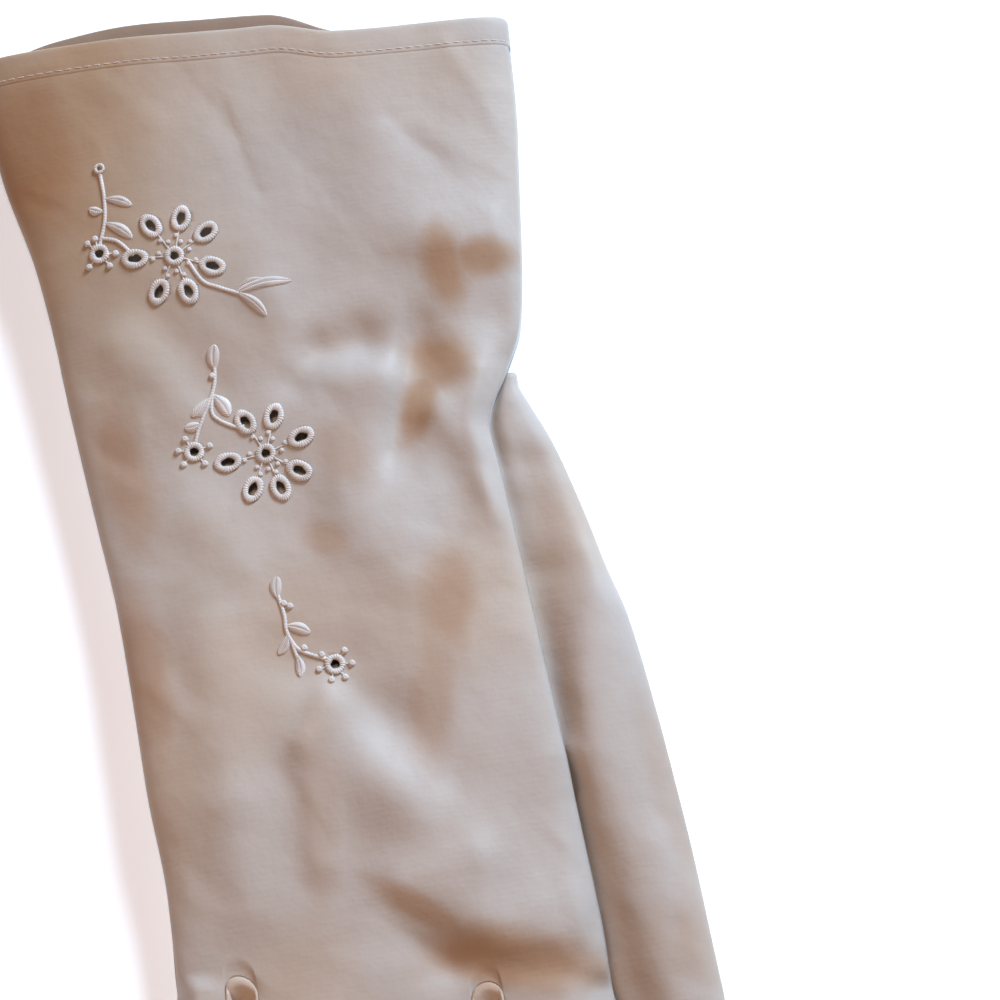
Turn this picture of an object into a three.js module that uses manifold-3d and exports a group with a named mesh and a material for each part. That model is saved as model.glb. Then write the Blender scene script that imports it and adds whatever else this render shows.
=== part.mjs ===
import * as THREE from 'three';
import { mergeVertices } from 'three/addons/utils/BufferGeometryUtils.js';
import Module from 'manifold-3d';

// Embroidered dress glove for the right hand, lying palm down on a flat surface.
// Millimetres, +Z up, +Y from the fingers to the opening, +X toward the thumb.
// The tables and formulas use the crotch between index and middle finger as y = 0
// and the middle of the hand as x = 0. ORIGIN moves the whole glove at the end.

const wasm = await Module();
wasm.setup();

// Cloth and seams
const WALL = 1.0;
const HEM_WALL = 1.5;
const SEAM_GAP = 0.3;
const HEM_GAP = 0.4;
const SEAM_SHARE = 0.43;
const FINGER_SEAM_SHARE = 0.5;
const TOP_ROUNDNESS = 2.8;
const BOTTOM_ROUNDNESS = 5;
const FINGER_ROUNDNESS = 2.5;
const FLAT_SHARE = 1.06;
const MERGE_DISTANCE = 1e-3;

// Length of the cuff and hand, measured from the crotches to the opening
const LENGTH = 198;
const HEM_HEIGHT = 6.5;
const HEM_STEPS = 14;
const SLANT_START = 120;
const CROTCH_FADE = 50;
const CROTCH_BLEND = 14;
const CROTCH_ROUND = 1.5;
const CROTCH_CORNER = 0.6;
const FOURCHETTE_HALF = 1.9;
const FOURCHETTE_END_HALF = 0.6;
const FOURCHETTE_END = 0.86;
const FOURCHETTE_TAPER = 0.3;

// Centre of the glove's footprint in the coordinates of the tables
const ORIGIN = { x: 1.74, y: 62.22 };

// Outline of the cuff and hand from above: left and right edge and outer height at each y
const BODY = [
  { y: -8, left: -40.2, right: 40.5, height: 9.6 },
  { y: 5, left: -39.6, right: 40.9, height: 9.8 },
  { y: 25, left: -39.3, right: 40.2, height: 10.8 },
  { y: 45, left: -40.7, right: 39.2, height: 11.6 },
  { y: 63, left: -41.3, right: 38.2, height: 11.6 },
  { y: 81, left: -42.2, right: 37.2, height: 11.2 },
  { y: 98, left: -44.1, right: 36.1, height: 10.8 },
  { y: 106, left: -45.0, right: 35.5, height: 10.8 },
  { y: 118, left: -46.3, right: 41.0, height: 11.2 },
  { y: 126, left: -47.1, right: 44.8, height: 11.6 },
  { y: 137, left: -48.0, right: 47.0, height: 12.2 },
  { y: 154, left: -50.2, right: 49.3, height: 12.8 },
  { y: 175, left: -54.9, right: 51.9, height: 13.2 },
  { y: 194, left: -57.2, right: 53.1, height: 14.0 },
  { y: 206, left: -58.0, right: 54.2, height: 14.4 },
];

// How far the opening's edge leans from a straight cut, for the upper and the lower layer
const OPENING = [
  { across: 0, upper: 2.6, lower: 2.6 },
  { across: 0.12, upper: 3.4, lower: 5.4 },
  { across: 0.26, upper: 3.7, lower: 6.3 },
  { across: 0.5, upper: 2.1, lower: 4.6 },
  { across: 0.67, upper: -3.1, lower: -1.8 },
  { across: 0.85, upper: -4.6, lower: -4.4 },
  { across: 1, upper: -4.9, lower: -4.9 },
];

// How far the crotches and knuckles lie from a straight line across the hand
const KNUCKLES = [
  { across: 0, offset: 10 },
  { across: 0.15, offset: 8.5 },
  { across: 0.29, offset: 1 },
  { across: 0.43, offset: -4 },
  { across: 0.57, offset: -3 },
  { across: 0.71, offset: 0 },
  { across: 0.87, offset: 0 },
  { across: 1, offset: -2 },
];

// Fingers: their lane across the hand, the tip's place, half width and outer height
const FINGERS = [
  { name: 'little', start: 0, end: 0.122, tipX: -41.5, tipY: -46, half: 7.0, height: 9.0 },
  { name: 'ring', start: 0.181, end: 0.402, tipX: -19.0, tipY: -72, half: 8.4, height: 9.4 },
  { name: 'middle', start: 0.457, end: 0.681, tipX: 7.0, tipY: -80, half: 8.6, height: 9.6 },
  { name: 'index', start: 0.735, end: 1, tipX: 34.0, tipY: -70, half: 8.8, height: 9.6 },
];
const FINGER_STEPS = [0, 0.14, 0.32, 0.5, 0.68, FOURCHETTE_END, 0.95, 1];
const STRIP_START = 0.009;
const FINGER_SETTLE = 0.35;
const TIP_RADIUS = 9;
const TIP_WIDTH_SHARE = 0.5;
const TIP_BULGE = 2.5;

// Places across one finger where the cloth of the back and of the palm is divided
const BACK_SHARES = [0, 0.12, 0.37, 0.63, 0.88, 1];
const PALM_SHARES = [0, 0.15, 0.85, 1];

// Rows along the cuff and hand
const ROW_SPACING = [
  { from: LENGTH - HEM_HEIGHT, to: 160, steps: 3 },
  { from: 160, to: 16, steps: 17 },
  { from: 16, to: 0, steps: 4 },
];

// Thumb: inner and outer edge from above and outer height at each y
const THUMB = [
  { y: -10, inner: 46.5, outer: 61.3, height: 8.4 },
  { y: 0, inner: 44.8, outer: 60.9, height: 8.6 },
  { y: 15, inner: 42.9, outer: 60.4, height: 8.6 },
  { y: 32, inner: 41.6, outer: 59.4, height: 8.2 },
  { y: 45, inner: 40, outer: 58.4, height: 8.0 },
  { y: 65, inner: 38, outer: 56.2, height: 7.6 },
  { y: 76, inner: 37, outer: 53.6, height: 7.2 },
  { y: 86, inner: 36, outer: 51.6, height: 6.8 },
  { y: 102, inner: 35, outer: 47.7, height: 6.4 },
  { y: 111, inner: 36, outer: 44.3, height: 6.2 },
  { y: 115, inner: 38, outer: 42.7, height: 6.0 },
];
const THUMB_TIP = { x: 54, y: -23, z: 3.9 };
const THUMB_TUBE = [33, 26, 15, 4, -7, -14, -19, -22];
const THUMB_ROUND = 15;
const GUSSET_POINT = 116.5;
const GUSSET_TOP = 120;
const GUSSET_FULL = 112;
const THUMB_HOLE_LOW = 40;
const THUMB_HOLE_END = 32;
const LAP_HEIGHT = 7.2;
const LAP_GAP = 0.5;
const LAP_STEP = 0.15;
const PALM_SET_BACK = 3;

// Section round the thumb, from the lap under the hand's edge, over the outer side, to the palm
const THUMB_PROFILE = [
  { across: 0, up: 0.62, inX: 0.8, inZ: -0.6 },
  { across: 0.1, up: 0.84, inX: 0.35, inZ: -0.95 },
  { across: 0.38, up: 1, inX: 0, inZ: -1 },
  { across: 0.72, up: 0.97, inX: -0.1, inZ: -1 },
  { across: 0.93, up: 0.76, inX: -0.75, inZ: -0.7 },
  { across: 1, up: 0.42, inX: -1, inZ: 0 },
  { across: 0.92, up: 0, inX: -0.6, inZ: 1 },
  { across: 0.5, up: 0, inX: 0, inZ: 1 },
  { across: 0.08, up: 0, inX: 0.5, inZ: 1 },
];

// Main folds of the back: a line from (x1, y1) to (x2, y2), its rise and its half width
const FOLDS = [
  { x1: 22, y1: 149, x2: 48, y2: 146, rise: 2.6, width: 8 },
  { x1: 25, y1: 131, x2: 43, y2: 127, rise: -2.2, width: 6 },
  { x1: 17.5, y1: 109, x2: 23.5, y2: 119.6, rise: -2.4, width: 5 },
  { x1: 23.5, y1: 119.6, x2: 32.3, y2: 122.4, rise: -1.6, width: 5 },
  { x1: -0.1, y1: 123, x2: 5.2, y2: 129.3, rise: -1.6, width: 4.5 },
  { x1: 5.2, y1: 129.3, x2: 20.5, y2: 126.8, rise: -1.8, width: 4.5 },
  { x1: 4, y1: 119, x2: 16, y2: 119.5, rise: 1.4, width: 5 },
  { x1: 24.4, y1: 110, x2: 22.7, y2: 88.5, rise: 2.0, width: 6 },
  { x1: 39.8, y1: 121.2, x2: 34, y2: 107, rise: 1.6, width: 4.5 },
  { x1: 28.1, y1: 106.8, x2: 34, y2: 91, rise: 1.6, width: 4.5 },
  { x1: 11, y1: 100, x2: 14, y2: 78, rise: -1.4, width: 6 },
  { x1: 1.1, y1: 62, x2: 16.8, y2: 38.1, rise: -1.6, width: 6 },
  { x1: -3.9, y1: 54, x2: 19.9, y2: 23, rise: 2.2, width: 7 },
  { x1: 11.7, y1: 20, x2: 37, y2: 15, rise: 1.6, width: 6 },
  { x1: -8.2, y1: 55.1, x2: -9, y2: 28.9, rise: -1.1, width: 3.5 },
  { x1: -4.1, y1: 93.9, x2: 3.5, y2: 85.5, rise: -1.3, width: 5 },
  { x1: -33.6, y1: 135.2, x2: -26.9, y2: 116.2, rise: -1.1, width: 5 },
  { x1: -26.2, y1: 82.3, x2: -24.2, y2: 68, rise: 1.2, width: 6 },
  { x1: -27.5, y1: 64.6, x2: -24.4, y2: 48.6, rise: -1.3, width: 5 },
  { x1: 6.5, y1: 185.9, x2: 22.5, y2: 174.2, rise: -1.1, width: 7 },
  { x1: 12.8, y1: 171.3, x2: 20.1, y2: 151.3, rise: 1.3, width: 8 },
  { x1: -22.6, y1: 61.9, x2: -7.8, y2: 57.5, rise: 1.1, width: 5 },
  { x1: -12, y1: 46, x2: -15.5, y2: 20, rise: 1.3, width: 6 },
];
const FOLD_EDGE = 0.16;

// Embroidery: thread heights above the cloth and sizes of the eyelets
const LIFT = 0.3;
const RING_HEIGHT = 0.8;
const KNOT_HEIGHT = 0.9;
const LEAF_HEIGHT = 0.65;
const LEAF_OUTLINE = [
  { along: 0, off: -0.33 },
  { along: 0.3, off: -1 },
  { along: 0.65, off: -0.9 },
  { along: 1, off: 0 },
  { along: 0.65, off: 0.9 },
  { along: 0.3, off: 1 },
  { along: 0, off: 0.33 },
];
const STEM_HEIGHT = 0.5;
const STEM_WIDTH = 0.9;
const PETAL = { holeLong: 1.25, holeWide: 0.75, rimLong: 2.4, rimWide: 1.65 };
const CENTRE = { hole: 0.9, rim: 1.9 };
const BUD_RING = { hole: 0.4, rim: 0.95 };
const KNOT_RADIUS = 0.8;
const DOT_RADIUS = 0.6;
const DOT_REACH = 3.4;
const DOT_TURN = 9;
const CUT_DEPTH = 60;
const RING_SIDES = 8;
const KNOT_SIDES = 5;

// Eyelet flowers: their centre, and the direction and reach of each petal or knot
const FLOWERS = [
  { spray: 'upper', kind: 'petal', x: -21.4, y: 150, reach: 7.9, turns: [119, 73, 30, -24, -77, -121, 175] },
  { spray: 'upper', kind: 'knot', x: -36.2, y: 153.0, reach: 3.3, turns: [129, -136, -58, -9, 98] },
  { spray: 'middle', kind: 'petal', x: -9, y: 107, reach: 7.6, turns: [114, 70, 15, -37, -75, -117, -176] },
  { spray: 'middle', kind: 'knot', x: -22.8, y: 109.6, reach: 3.2, turns: [117, 167, -137, -57, 14] },
  { spray: 'lower', kind: 'knot', x: -1.5, y: 63.4, reach: 3.2, turns: [136, 48, -5, -61, -110, -170] },
];

// Leaves and buds: from the stem to the tip, and the width in the middle
const LEAVES = [
  { spray: 'upper', x1: -33.8, y1: 164.3, x2: -28.4, y2: 161.9, width: 1.7 },
  { spray: 'upper', x1: -34.4, y1: 159.2, x2: -29.2, y2: 155.1, width: 1.9 },
  { spray: 'upper', x1: -34.2, y1: 161.6, x2: -37.2, y2: 162.8, width: 1.6 },
  { spray: 'upper', x1: -10.6, y1: 140.6, x2: -4.6, y2: 142.4, width: 1.8 },
  { spray: 'upper', x1: -10.2, y1: 140.4, x2: 1.0, y2: 141.2, width: 1.9 },
  { spray: 'upper', x1: -10.2, y1: 140.6, x2: -4.9, y2: 134.7, width: 1.7 },
  { spray: 'middle', x1: -16.6, y1: 125.6, x2: -16.1, y2: 130.8, width: 2.3 },
  { spray: 'middle', x1: -17.9, y1: 120.8, x2: -15.0, y2: 115.8, width: 2.4 },
  { spray: 'middle', x1: -18.2, y1: 120.2, x2: -22.3, y2: 116.7, width: 2.2 },
  { spray: 'middle', x1: -20.6, y1: 115.0, x2: -24.0, y2: 114.6, width: 1.8 },
  { spray: 'lower', x1: -10.6, y1: 77.6, x2: -10.2, y2: 82.2, width: 2.0 },
  { spray: 'lower', x1: -9.9, y1: 72.2, x2: -5.3, y2: 70.1, width: 1.9 },
  { spray: 'lower', x1: -9.6, y1: 70.6, x2: -11.9, y2: 66.8, width: 1.7 },
  { spray: 'lower', x1: -8.5, y1: 66.4, x2: -8.4, y2: 61.9, width: 1.6 },
];

// Stems: each is a short run of points
const STEMS = [
  { spray: 'upper', points: [[-34, 170], [-33.8, 164.5], [-34.3, 159.5], [-36, 154.5]] },
  { spray: 'upper', points: [[-35.6, 156.2], [-32.3, 154.9], [-29.4, 151.4]] },
  { spray: 'upper', points: [[-18.9, 148.6], [-16.6, 144.1], [-13.5, 142.2], [-9.8, 140.3]] },
  { spray: 'middle', points: [[-16.6, 126.4], [-17.2, 122.6], [-19, 118.5], [-21.4, 113.8], [-22.5, 111]] },
  { spray: 'middle', points: [[-17.7, 121], [-18.2, 116.5], [-14.6, 113.6], [-12.4, 113.2]] },
  { spray: 'lower', points: [[-10.5, 78.6], [-9.8, 74.4], [-9.8, 71.6], [-9.2, 69.3]] },
  { spray: 'lower', points: [[-9.2, 69.3], [-7.5, 66.9], [-2.6, 64.4]] },
  { spray: 'lower', points: [[-9.2, 69.3], [-8.5, 65.8]] },
];

// Single knots, and the small ring that ends the upper spray
const KNOTS = [
  { spray: 'middle', x: -17.3, y: 124.6 },
  { spray: 'lower', x: -9.6, y: 76.6 },
  { spray: 'lower', x: -8.5, y: 75.9 },
  { spray: 'lower', x: -6.9, y: 67.4 },
];
const BUD = { spray: 'upper', x: -34, y: 170.8 };

const CLOTH = { color: 0xb3a29c, roughness: 0.62, metalness: 0 };
const CLOTH_SHADE = { color: 0xa8968f, roughness: 0.66, metalness: 0 };
const THREAD = { color: 0xc9bdb4, roughness: 0.5, metalness: 0 };

// Smooth value of one column of a table
function track(table, key, column, at) {
  const last = table.length - 1;
  if (at <= table[0][key]) {
    return table[0][column];
  }
  if (at >= table[last][key]) {
    return table[last][column];
  }
  let i = 0;
  while (table[i + 1][key] < at) {
    i += 1;
  }
  const slope = (a, b) => (table[b][column] - table[a][column]) / (table[b][key] - table[a][key]);
  const here = slope(i, i + 1);
  const meet = (other) => (other * here <= 0 ? 0 : (2 * other * here) / (other + here));
  const enter = i > 0 ? meet(slope(i - 1, i)) : here;
  const leave = i + 2 <= last ? meet(slope(i + 1, i + 2)) : here;
  const span = table[i + 1][key] - table[i][key];
  const t = (at - table[i][key]) / span;
  const start = table[i][column] * (1 + 2 * t) * (1 - t) ** 2 + span * enter * t * (1 - t) ** 2;
  const end = table[i + 1][column] * t * t * (3 - 2 * t) + span * leave * t * t * (t - 1);
  return start + end;
}

function smooth(value) {
  const t = Math.min(1, Math.max(0, value));
  return t * t * (3 - 2 * t);
}

function mix(a, b, share) {
  return a + (b - a) * share;
}

function dome(across, roundness) {
  return (1 - Math.min(1, Math.abs(across)) ** roundness) ** (1 / roundness);
}

// Distance of a point from one fold's line
function foldDistance(fold, x, y) {
  const dx = fold.x2 - fold.x1;
  const dy = fold.y2 - fold.y1;
  const along = ((x - fold.x1) * dx + (y - fold.y1) * dy) / (dx * dx + dy * dy);
  const t = Math.min(1, Math.max(0, along));
  return Math.hypot(x - fold.x1 - t * dx, y - fold.y1 - t * dy);
}

function foldRise(x, y) {
  let rise = 0;
  for (const fold of FOLDS) {
    rise += fold.rise * Math.exp(-((foldDistance(fold, x, y) / fold.width) ** 2));
  }
  return rise;
}

// y of a row: straight in the middle of the hand, along the knuckles and along the opening at its ends
function rowY(row, across, side) {
  const knuckle = track(KNUCKLES, 'across', 'offset', across) * (1 - smooth(row / CROTCH_FADE));
  const lean = track(OPENING, 'across', side > 0 ? 'upper' : 'lower', across);
  return row + knuckle + lean * smooth((row - SLANT_START) / (LENGTH - SLANT_START));
}

// 1 where the thumb's gusset is set in, 0 where the side seam is closed
function thumbZone(row) {
  const start = Math.min(1, Math.max(0, (GUSSET_TOP - row) / (GUSSET_TOP - GUSSET_FULL)));
  const end = Math.min(1, Math.max(0, (row - THUMB_HOLE_END) / (THUMB_HOLE_LOW - THUMB_HOLE_END)));
  return Math.min(start, end);
}

// Height of the side seam: on the thumb's side it rises to the lap over the gusset
function seamHeight(row, across, height) {
  const lap = thumbZone(row) * smooth(2 * across - 1);
  return mix(SEAM_SHARE * height, LAP_HEIGHT, lap);
}

// One point of the cuff and hand; side is 1 for the back and -1 for the palm
function bodyPoint(row, across, side, inset, gap = SEAM_GAP) {
  const y = rowY(row, across, side);
  const left = track(BODY, 'y', 'left', y);
  const right = track(BODY, 'y', 'right', y);
  const height = track(BODY, 'y', 'height', y);
  const centred = 2 * across - 1;
  const x = (left + right) / 2 + ((right - left) / 2 - inset) * centred;
  if (side > 0) {
    const seam = seamHeight(row, across, height) + gap / 2;
    const arch = dome(centred, TOP_ROUNDNESS);
    const fade = smooth(Math.min(across, 1 - across) / FOLD_EDGE) * smooth(row / CROTCH_BLEND);
    return [x, y, seam + (height - seam - inset) * arch + foldRise(x, y) * fade];
  }
  const zone = thumbZone(row) * smooth(2 * across - 1);
  const seam = (SEAM_SHARE * height - gap / 2) * (1 - zone);
  const arch = Math.min(1, FLAT_SHARE * dome(centred, BOTTOM_ROUNDNESS));
  const floor = mix(seam, 0, arch);
  const setBack = mix(0, PALM_SET_BACK, zone);
  const wall = inset * mix(arch, 1, zone);
  return [x - setBack * centred + inset * zone * centred, y, floor + wall];
}

// Section of one finger at a share t of its length, 0 at the crotch and 1 at the tip
function fingerSection(finger, t) {
  const rootLeft = mix(track(BODY, 'y', 'left', 0), track(BODY, 'y', 'right', 0), finger.start);
  const rootRight = mix(track(BODY, 'y', 'left', 0), track(BODY, 'y', 'right', 0), finger.end);
  const tipGap = (1 - t) * (track(KNUCKLES, 'across', 'offset', finger.end) - finger.tipY);
  const close = Math.sqrt(1 - (1 - Math.min(1, tipGap / TIP_RADIUS)) ** 2);
  const settled = smooth(t / FINGER_SETTLE);
  const full = mix((rootRight - rootLeft) / 2, finger.half, settled);
  const height = mix(track(BODY, 'y', 'height', 0), finger.height, settled);
  return {
    x: mix((rootLeft + rootRight) / 2, finger.tipX, t),
    half: full * mix(TIP_WIDTH_SHARE, 1, close),
    height,
    seam: height * mix(SEAM_SHARE, FINGER_SEAM_SHARE, settled),
    close,
  };
}

function fingerY(finger, share, t) {
  const startY = rowY(0, finger.start, 1);
  const endY = rowY(0, finger.end, 1);
  const bulge = TIP_BULGE * (2 * share - 1) ** 2;
  return mix(mix(startY, endY, share), finger.tipY + bulge, t);
}

// Half height of the fourchette beside a finger; an outer side has none
function fourchetteHalf(index, share, t) {
  const outer = (index === 0 && share < 0.5) || (index === FINGERS.length - 1 && share > 0.5);
  if (outer || t > FOURCHETTE_END) {
    return 0;
  }
  const taper = smooth((t - FOURCHETTE_TAPER) / (FOURCHETTE_END - FOURCHETTE_TAPER));
  return mix(FOURCHETTE_HALF, FOURCHETTE_END_HALF, taper);
}

// One point of a finger's back (side 1), palm (side -1) or fourchette (level given)
function fingerPoint(index, share, t, side, inset, level = null) {
  const finger = FINGERS[index];
  const section = fingerSection(finger, t);
  const { seam } = section;
  const edge = fourchetteHalf(index, share, t);
  const centred = 2 * share - 1;
  const reach = dome(edge / (section.height - seam), FINGER_ROUNDNESS);
  const spread = centred * mix(1, reach, Math.abs(centred) ** 4);
  const x = section.x + (section.half - inset) * spread;
  const corner = t === 0 && Math.abs(centred) === 1 && edge > 0 ? CROTCH_CORNER : 0;
  const y = fingerY(finger, share, t) + inset * (1 - section.close + corner);
  if (level !== null) {
    return [x, y, seam + level * (edge - SEAM_GAP / 2)];
  }
  const arch = dome(centred, FINGER_ROUNDNESS);
  const start = edge + SEAM_GAP / 2;
  if (side > 0) {
    const rise = section.height - seam - inset;
    return [x, y, seam + start + Math.max(0, rise - start) * section.close * arch];
  }
  const drop = Math.max(0, seam - inset - start) * section.close * Math.min(1, FLAT_SHARE * arch);
  return [x, y, seam - start - drop];
}

// Middle of the crotch between finger index and the next one
function crotchPoint(index, side, inset, level = null) {
  const across = (FINGERS[index].end + FINGERS[index + 1].start) / 2;
  const body = bodyPoint(0, across, 1, 0);
  const seam = SEAM_SHARE * track(BODY, 'y', 'height', 0);
  const y = body[1] + CROTCH_ROUND + inset;
  if (level !== null) {
    return [body[0], y, seam + level * (FOURCHETTE_HALF - SEAM_GAP / 2)];
  }
  return [body[0], y, seam + side * (FOURCHETTE_HALF + SEAM_GAP / 2)];
}

// Columns across the hand: lanes of the four fingers with one crotch column between neighbours
function columns(shares) {
  const list = [];
  FINGERS.forEach((finger, index) => {
    for (const share of shares) {
      list.push({ index, share, across: mix(finger.start, finger.end, share), crotch: false });
    }
    if (index < FINGERS.length - 1) {
      const across = (finger.end + FINGERS[index + 1].start) / 2;
      list.push({ index, share: 1, across, crotch: true });
    }
  });
  return list;
}

function bodyRows() {
  const rows = [ROW_SPACING[0].from];
  for (const { from, to, steps } of ROW_SPACING) {
    for (let k = 1; k <= steps; k += 1) {
      rows.push(mix(from, to, k / steps));
    }
  }
  return rows;
}

function rootPoint(column, side, inset) {
  return column.crotch
    ? crotchPoint(column.index, side, inset)
    : fingerPoint(column.index, column.share, 0, side, inset);
}

// The hand's cloth runs into the fingers over CROTCH_BLEND
function handPoint(row, column, side, inset) {
  const body = bodyPoint(row, column.across, side, inset);
  const root = rootPoint(column, side, inset);
  const start = bodyPoint(0, column.across, side, 0);
  const share = 1 - smooth(row / CROTCH_BLEND);
  const shift = (root[1] - start[1]) * share;
  return [mix(body[0], root[0], share), body[1] + shift, mix(body[2], root[2], share)];
}

// A wall of cloth between outer and inner points: cells that exist get both faces, free edges get sides
function cloth(grid, exists, wrap = false) {
  const rows = grid.length;
  const count = grid[0].length;
  const positions = [];
  const index = [];
  const at = (r, c, layer) => 2 * (r * count + (c % count)) + layer;
  for (const row of grid) {
    for (const node of row) {
      positions.push(...node.outer, ...node.inner);
    }
  }
  const quad = (a, b, c, d) => index.push(a, b, c, a, c, d);
  const cells = wrap ? count : count - 1;
  const there = (r, c) => {
    if (r < 0 || r >= rows - 1 || (!wrap && (c < 0 || c >= cells))) {
      return false;
    }
    return exists(r, (c + count) % count);
  };
  const side = (r1, c1, r2, c2) => {
    quad(at(r1, c1, 0), at(r1, c1, 1), at(r2, c2, 1), at(r2, c2, 0));
  };
  for (let r = 0; r < rows - 1; r += 1) {
    for (let c = 0; c < cells; c += 1) {
      if (there(r, c)) {
        quad(at(r, c, 0), at(r + 1, c, 0), at(r + 1, c + 1, 0), at(r, c + 1, 0));
        quad(at(r, c, 1), at(r, c + 1, 1), at(r + 1, c + 1, 1), at(r + 1, c, 1));
        if (!there(r - 1, c)) {
          side(r, c + 1, r, c);
        }
        if (!there(r + 1, c)) {
          side(r + 1, c, r + 1, c + 1);
        }
        if (!there(r, c - 1)) {
          side(r, c, r + 1, c);
        }
        if (!there(r, c + 1)) {
          side(r + 1, c + 1, r, c + 1);
        }
      }
    }
  }
  return closed(positions, index);
}

// Merges shared vertices, drops flat triangles and turns the faces outward
function closed(positions, index) {
  const raw = new THREE.BufferGeometry();
  raw.setAttribute('position', new THREE.Float32BufferAttribute(positions, 3));
  raw.setIndex(index);
  const merged = mergeVertices(raw, MERGE_DISTANCE);
  const points = merged.attributes.position.array;
  const kept = [];
  let volume = 0;
  const a = new THREE.Vector3();
  const b = new THREE.Vector3();
  const c = new THREE.Vector3();
  for (let k = 0; k < merged.index.count; k += 3) {
    const [i, j, l] = merged.index.array.slice(k, k + 3);
    if (i !== j && j !== l && l !== i) {
      kept.push(i, j, l);
      a.fromArray(points, 3 * i);
      b.fromArray(points, 3 * j);
      c.fromArray(points, 3 * l);
      volume += a.dot(b.cross(c));
    }
  }
  if (volume < 0) {
    kept.reverse();
  }
  const geometry = new THREE.BufferGeometry();
  const used = new Map();
  const packed = [];
  const order = kept.map((vertex) => {
    if (!used.has(vertex)) {
      used.set(vertex, used.size);
      packed.push(points[3 * vertex], points[3 * vertex + 1], points[3 * vertex + 2]);
    }
    return used.get(vertex);
  });
  geometry.setAttribute('position', new THREE.Float32BufferAttribute(packed, 3));
  geometry.setIndex(order);
  return geometry;
}

function toSolid(geometry) {
  const bare = geometry.clone();
  bare.deleteAttribute('normal');
  bare.deleteAttribute('uv');
  const merged = mergeVertices(bare, MERGE_DISTANCE / 10);
  return new wasm.Manifold(new wasm.Mesh({
    numProp: 3,
    vertProperties: new Float32Array(merged.attributes.position.array),
    triVerts: new Uint32Array(merged.index.array),
  }));
}

function fromSolid(solid) {
  const mesh = solid.getMesh();
  const geometry = new THREE.BufferGeometry();
  geometry.setAttribute('position', new THREE.Float32BufferAttribute(mesh.vertProperties, 3));
  geometry.setIndex(Array.from(mesh.triVerts));
  return geometry;
}

// Hand and cuff part of the back or palm, down to the crotches
function panel(side, shares) {
  const list = columns(shares);
  const grid = bodyRows().map((row) => list.map((column) => ({
    outer: handPoint(row, column, side, 0),
    inner: handPoint(row, column, side, WALL),
  })));
  return cloth(grid, () => true);
}

// One finger's strip of the back or palm, which carries the panel on to the tip
function strip(index, side, shares) {
  const steps = [STRIP_START, ...FINGER_STEPS.slice(1)];
  const grid = steps.map((t) => shares.map((share) => ({
    outer: fingerPoint(index, share, t, side, 0),
    inner: fingerPoint(index, share, t, side, WALL),
  })));
  return cloth(grid, () => true);
}

// Ribbon down one finger's side, round the crotch and up the next finger's side
function fourchette(index) {
  const steps = FINGER_STEPS.filter((t) => t <= FOURCHETTE_END);
  const levels = [1, 0, -1];
  const beside = (finger, share, t) => levels.map((level) => ({
    outer: fingerPoint(finger, share, t, 1, 0, level),
    inner: fingerPoint(finger, share, t, 1, WALL, level),
  }));
  const grid = [];
  for (const t of [...steps].reverse()) {
    grid.push(beside(index, 1, t));
  }
  grid.push(levels.map((level) => ({
    outer: crotchPoint(index, 1, 0, level),
    inner: crotchPoint(index, 1, WALL, level),
  })));
  for (const t of steps) {
    grid.push(beside(index + 1, 0, t));
  }
  return cloth(grid, () => true);
}

// Point of the hand's edge between two rows, on the straight line that the panels have there
function edgeBetween(row, side, inset) {
  const rows = bodyRows();
  const k = rows.findIndex((value) => value <= row);
  const share = (rows[k - 1] - row) / (rows[k - 1] - rows[k]);
  const from = bodyPoint(rows[k - 1], 1, side, inset);
  const to = bodyPoint(rows[k], 1, side, inset);
  return from.map((value, axis) => mix(value, to[axis], share));
}

// Thumb: an open gusset beside the hand, then a closed tube
function thumb() {
  const besideHand = bodyRows().filter((row) => row < GUSSET_POINT && row > THUMB_TUBE[0]);
  const gussetRows = [GUSSET_POINT, ...besideHand];
  const grid = gussetRows.map((row) => {
    const lap = edgeBetween(row, 1, 0);
    const palm = edgeBetween(row, -1, 0);
    const y = lap[1];
    const outer = track(THUMB, 'y', 'outer', y);
    const height = track(THUMB, 'y', 'height', y);
    const start = { x: lap[0] - WALL, z: lap[2] - LAP_GAP };
    return THUMB_PROFILE.map((place, k) => {
      let x = mix(start.x, outer, place.across);
      let z = height * place.up;
      let inX = place.inX;
      if (k < 2) {
        z = start.z - LAP_STEP * k;
        inX = 0;
      }
      if (k === THUMB_PROFILE.length - 1) {
        x = palm[0] + SEAM_GAP;
        z = palm[2];
        inX = 0;
      }
      const inZ = k < 2 ? -1 : place.inZ;
      return { outer: [x, y, z], inner: [x + inX * WALL, y, z + inZ * WALL] };
    });
  });
  for (const y of THUMB_TUBE) {
    const inner = track(THUMB, 'y', 'inner', y);
    const outer = track(THUMB, 'y', 'outer', y);
    const height = track(THUMB, 'y', 'height', y);
    const close = Math.sqrt(1 - (1 - Math.min(1, (y - THUMB_TIP.y) / THUMB_ROUND)) ** 2);
    grid.push(THUMB_PROFILE.map((place) => {
      const x = mix(THUMB_TIP.x, mix(inner, outer, place.across), close);
      const z = mix(THUMB_TIP.z, height * place.up, Math.sqrt(close));
      const inZ = place.inZ * Math.sqrt(close);
      return { outer: [x, y, z], inner: [x + place.inX * WALL, y + (1 - close) * WALL, z + inZ * WALL] };
    }));
  }
  const tip = {
    outer: [THUMB_TIP.x, THUMB_TIP.y, THUMB_TIP.z],
    inner: [THUMB_TIP.x, THUMB_TIP.y + WALL, THUMB_TIP.z],
  };
  grid.push(THUMB_PROFILE.map(() => tip));
  const exists = (r, c) => r >= gussetRows.length || c < THUMB_PROFILE.length - 1;
  return cloth(grid, exists, true);
}

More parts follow.
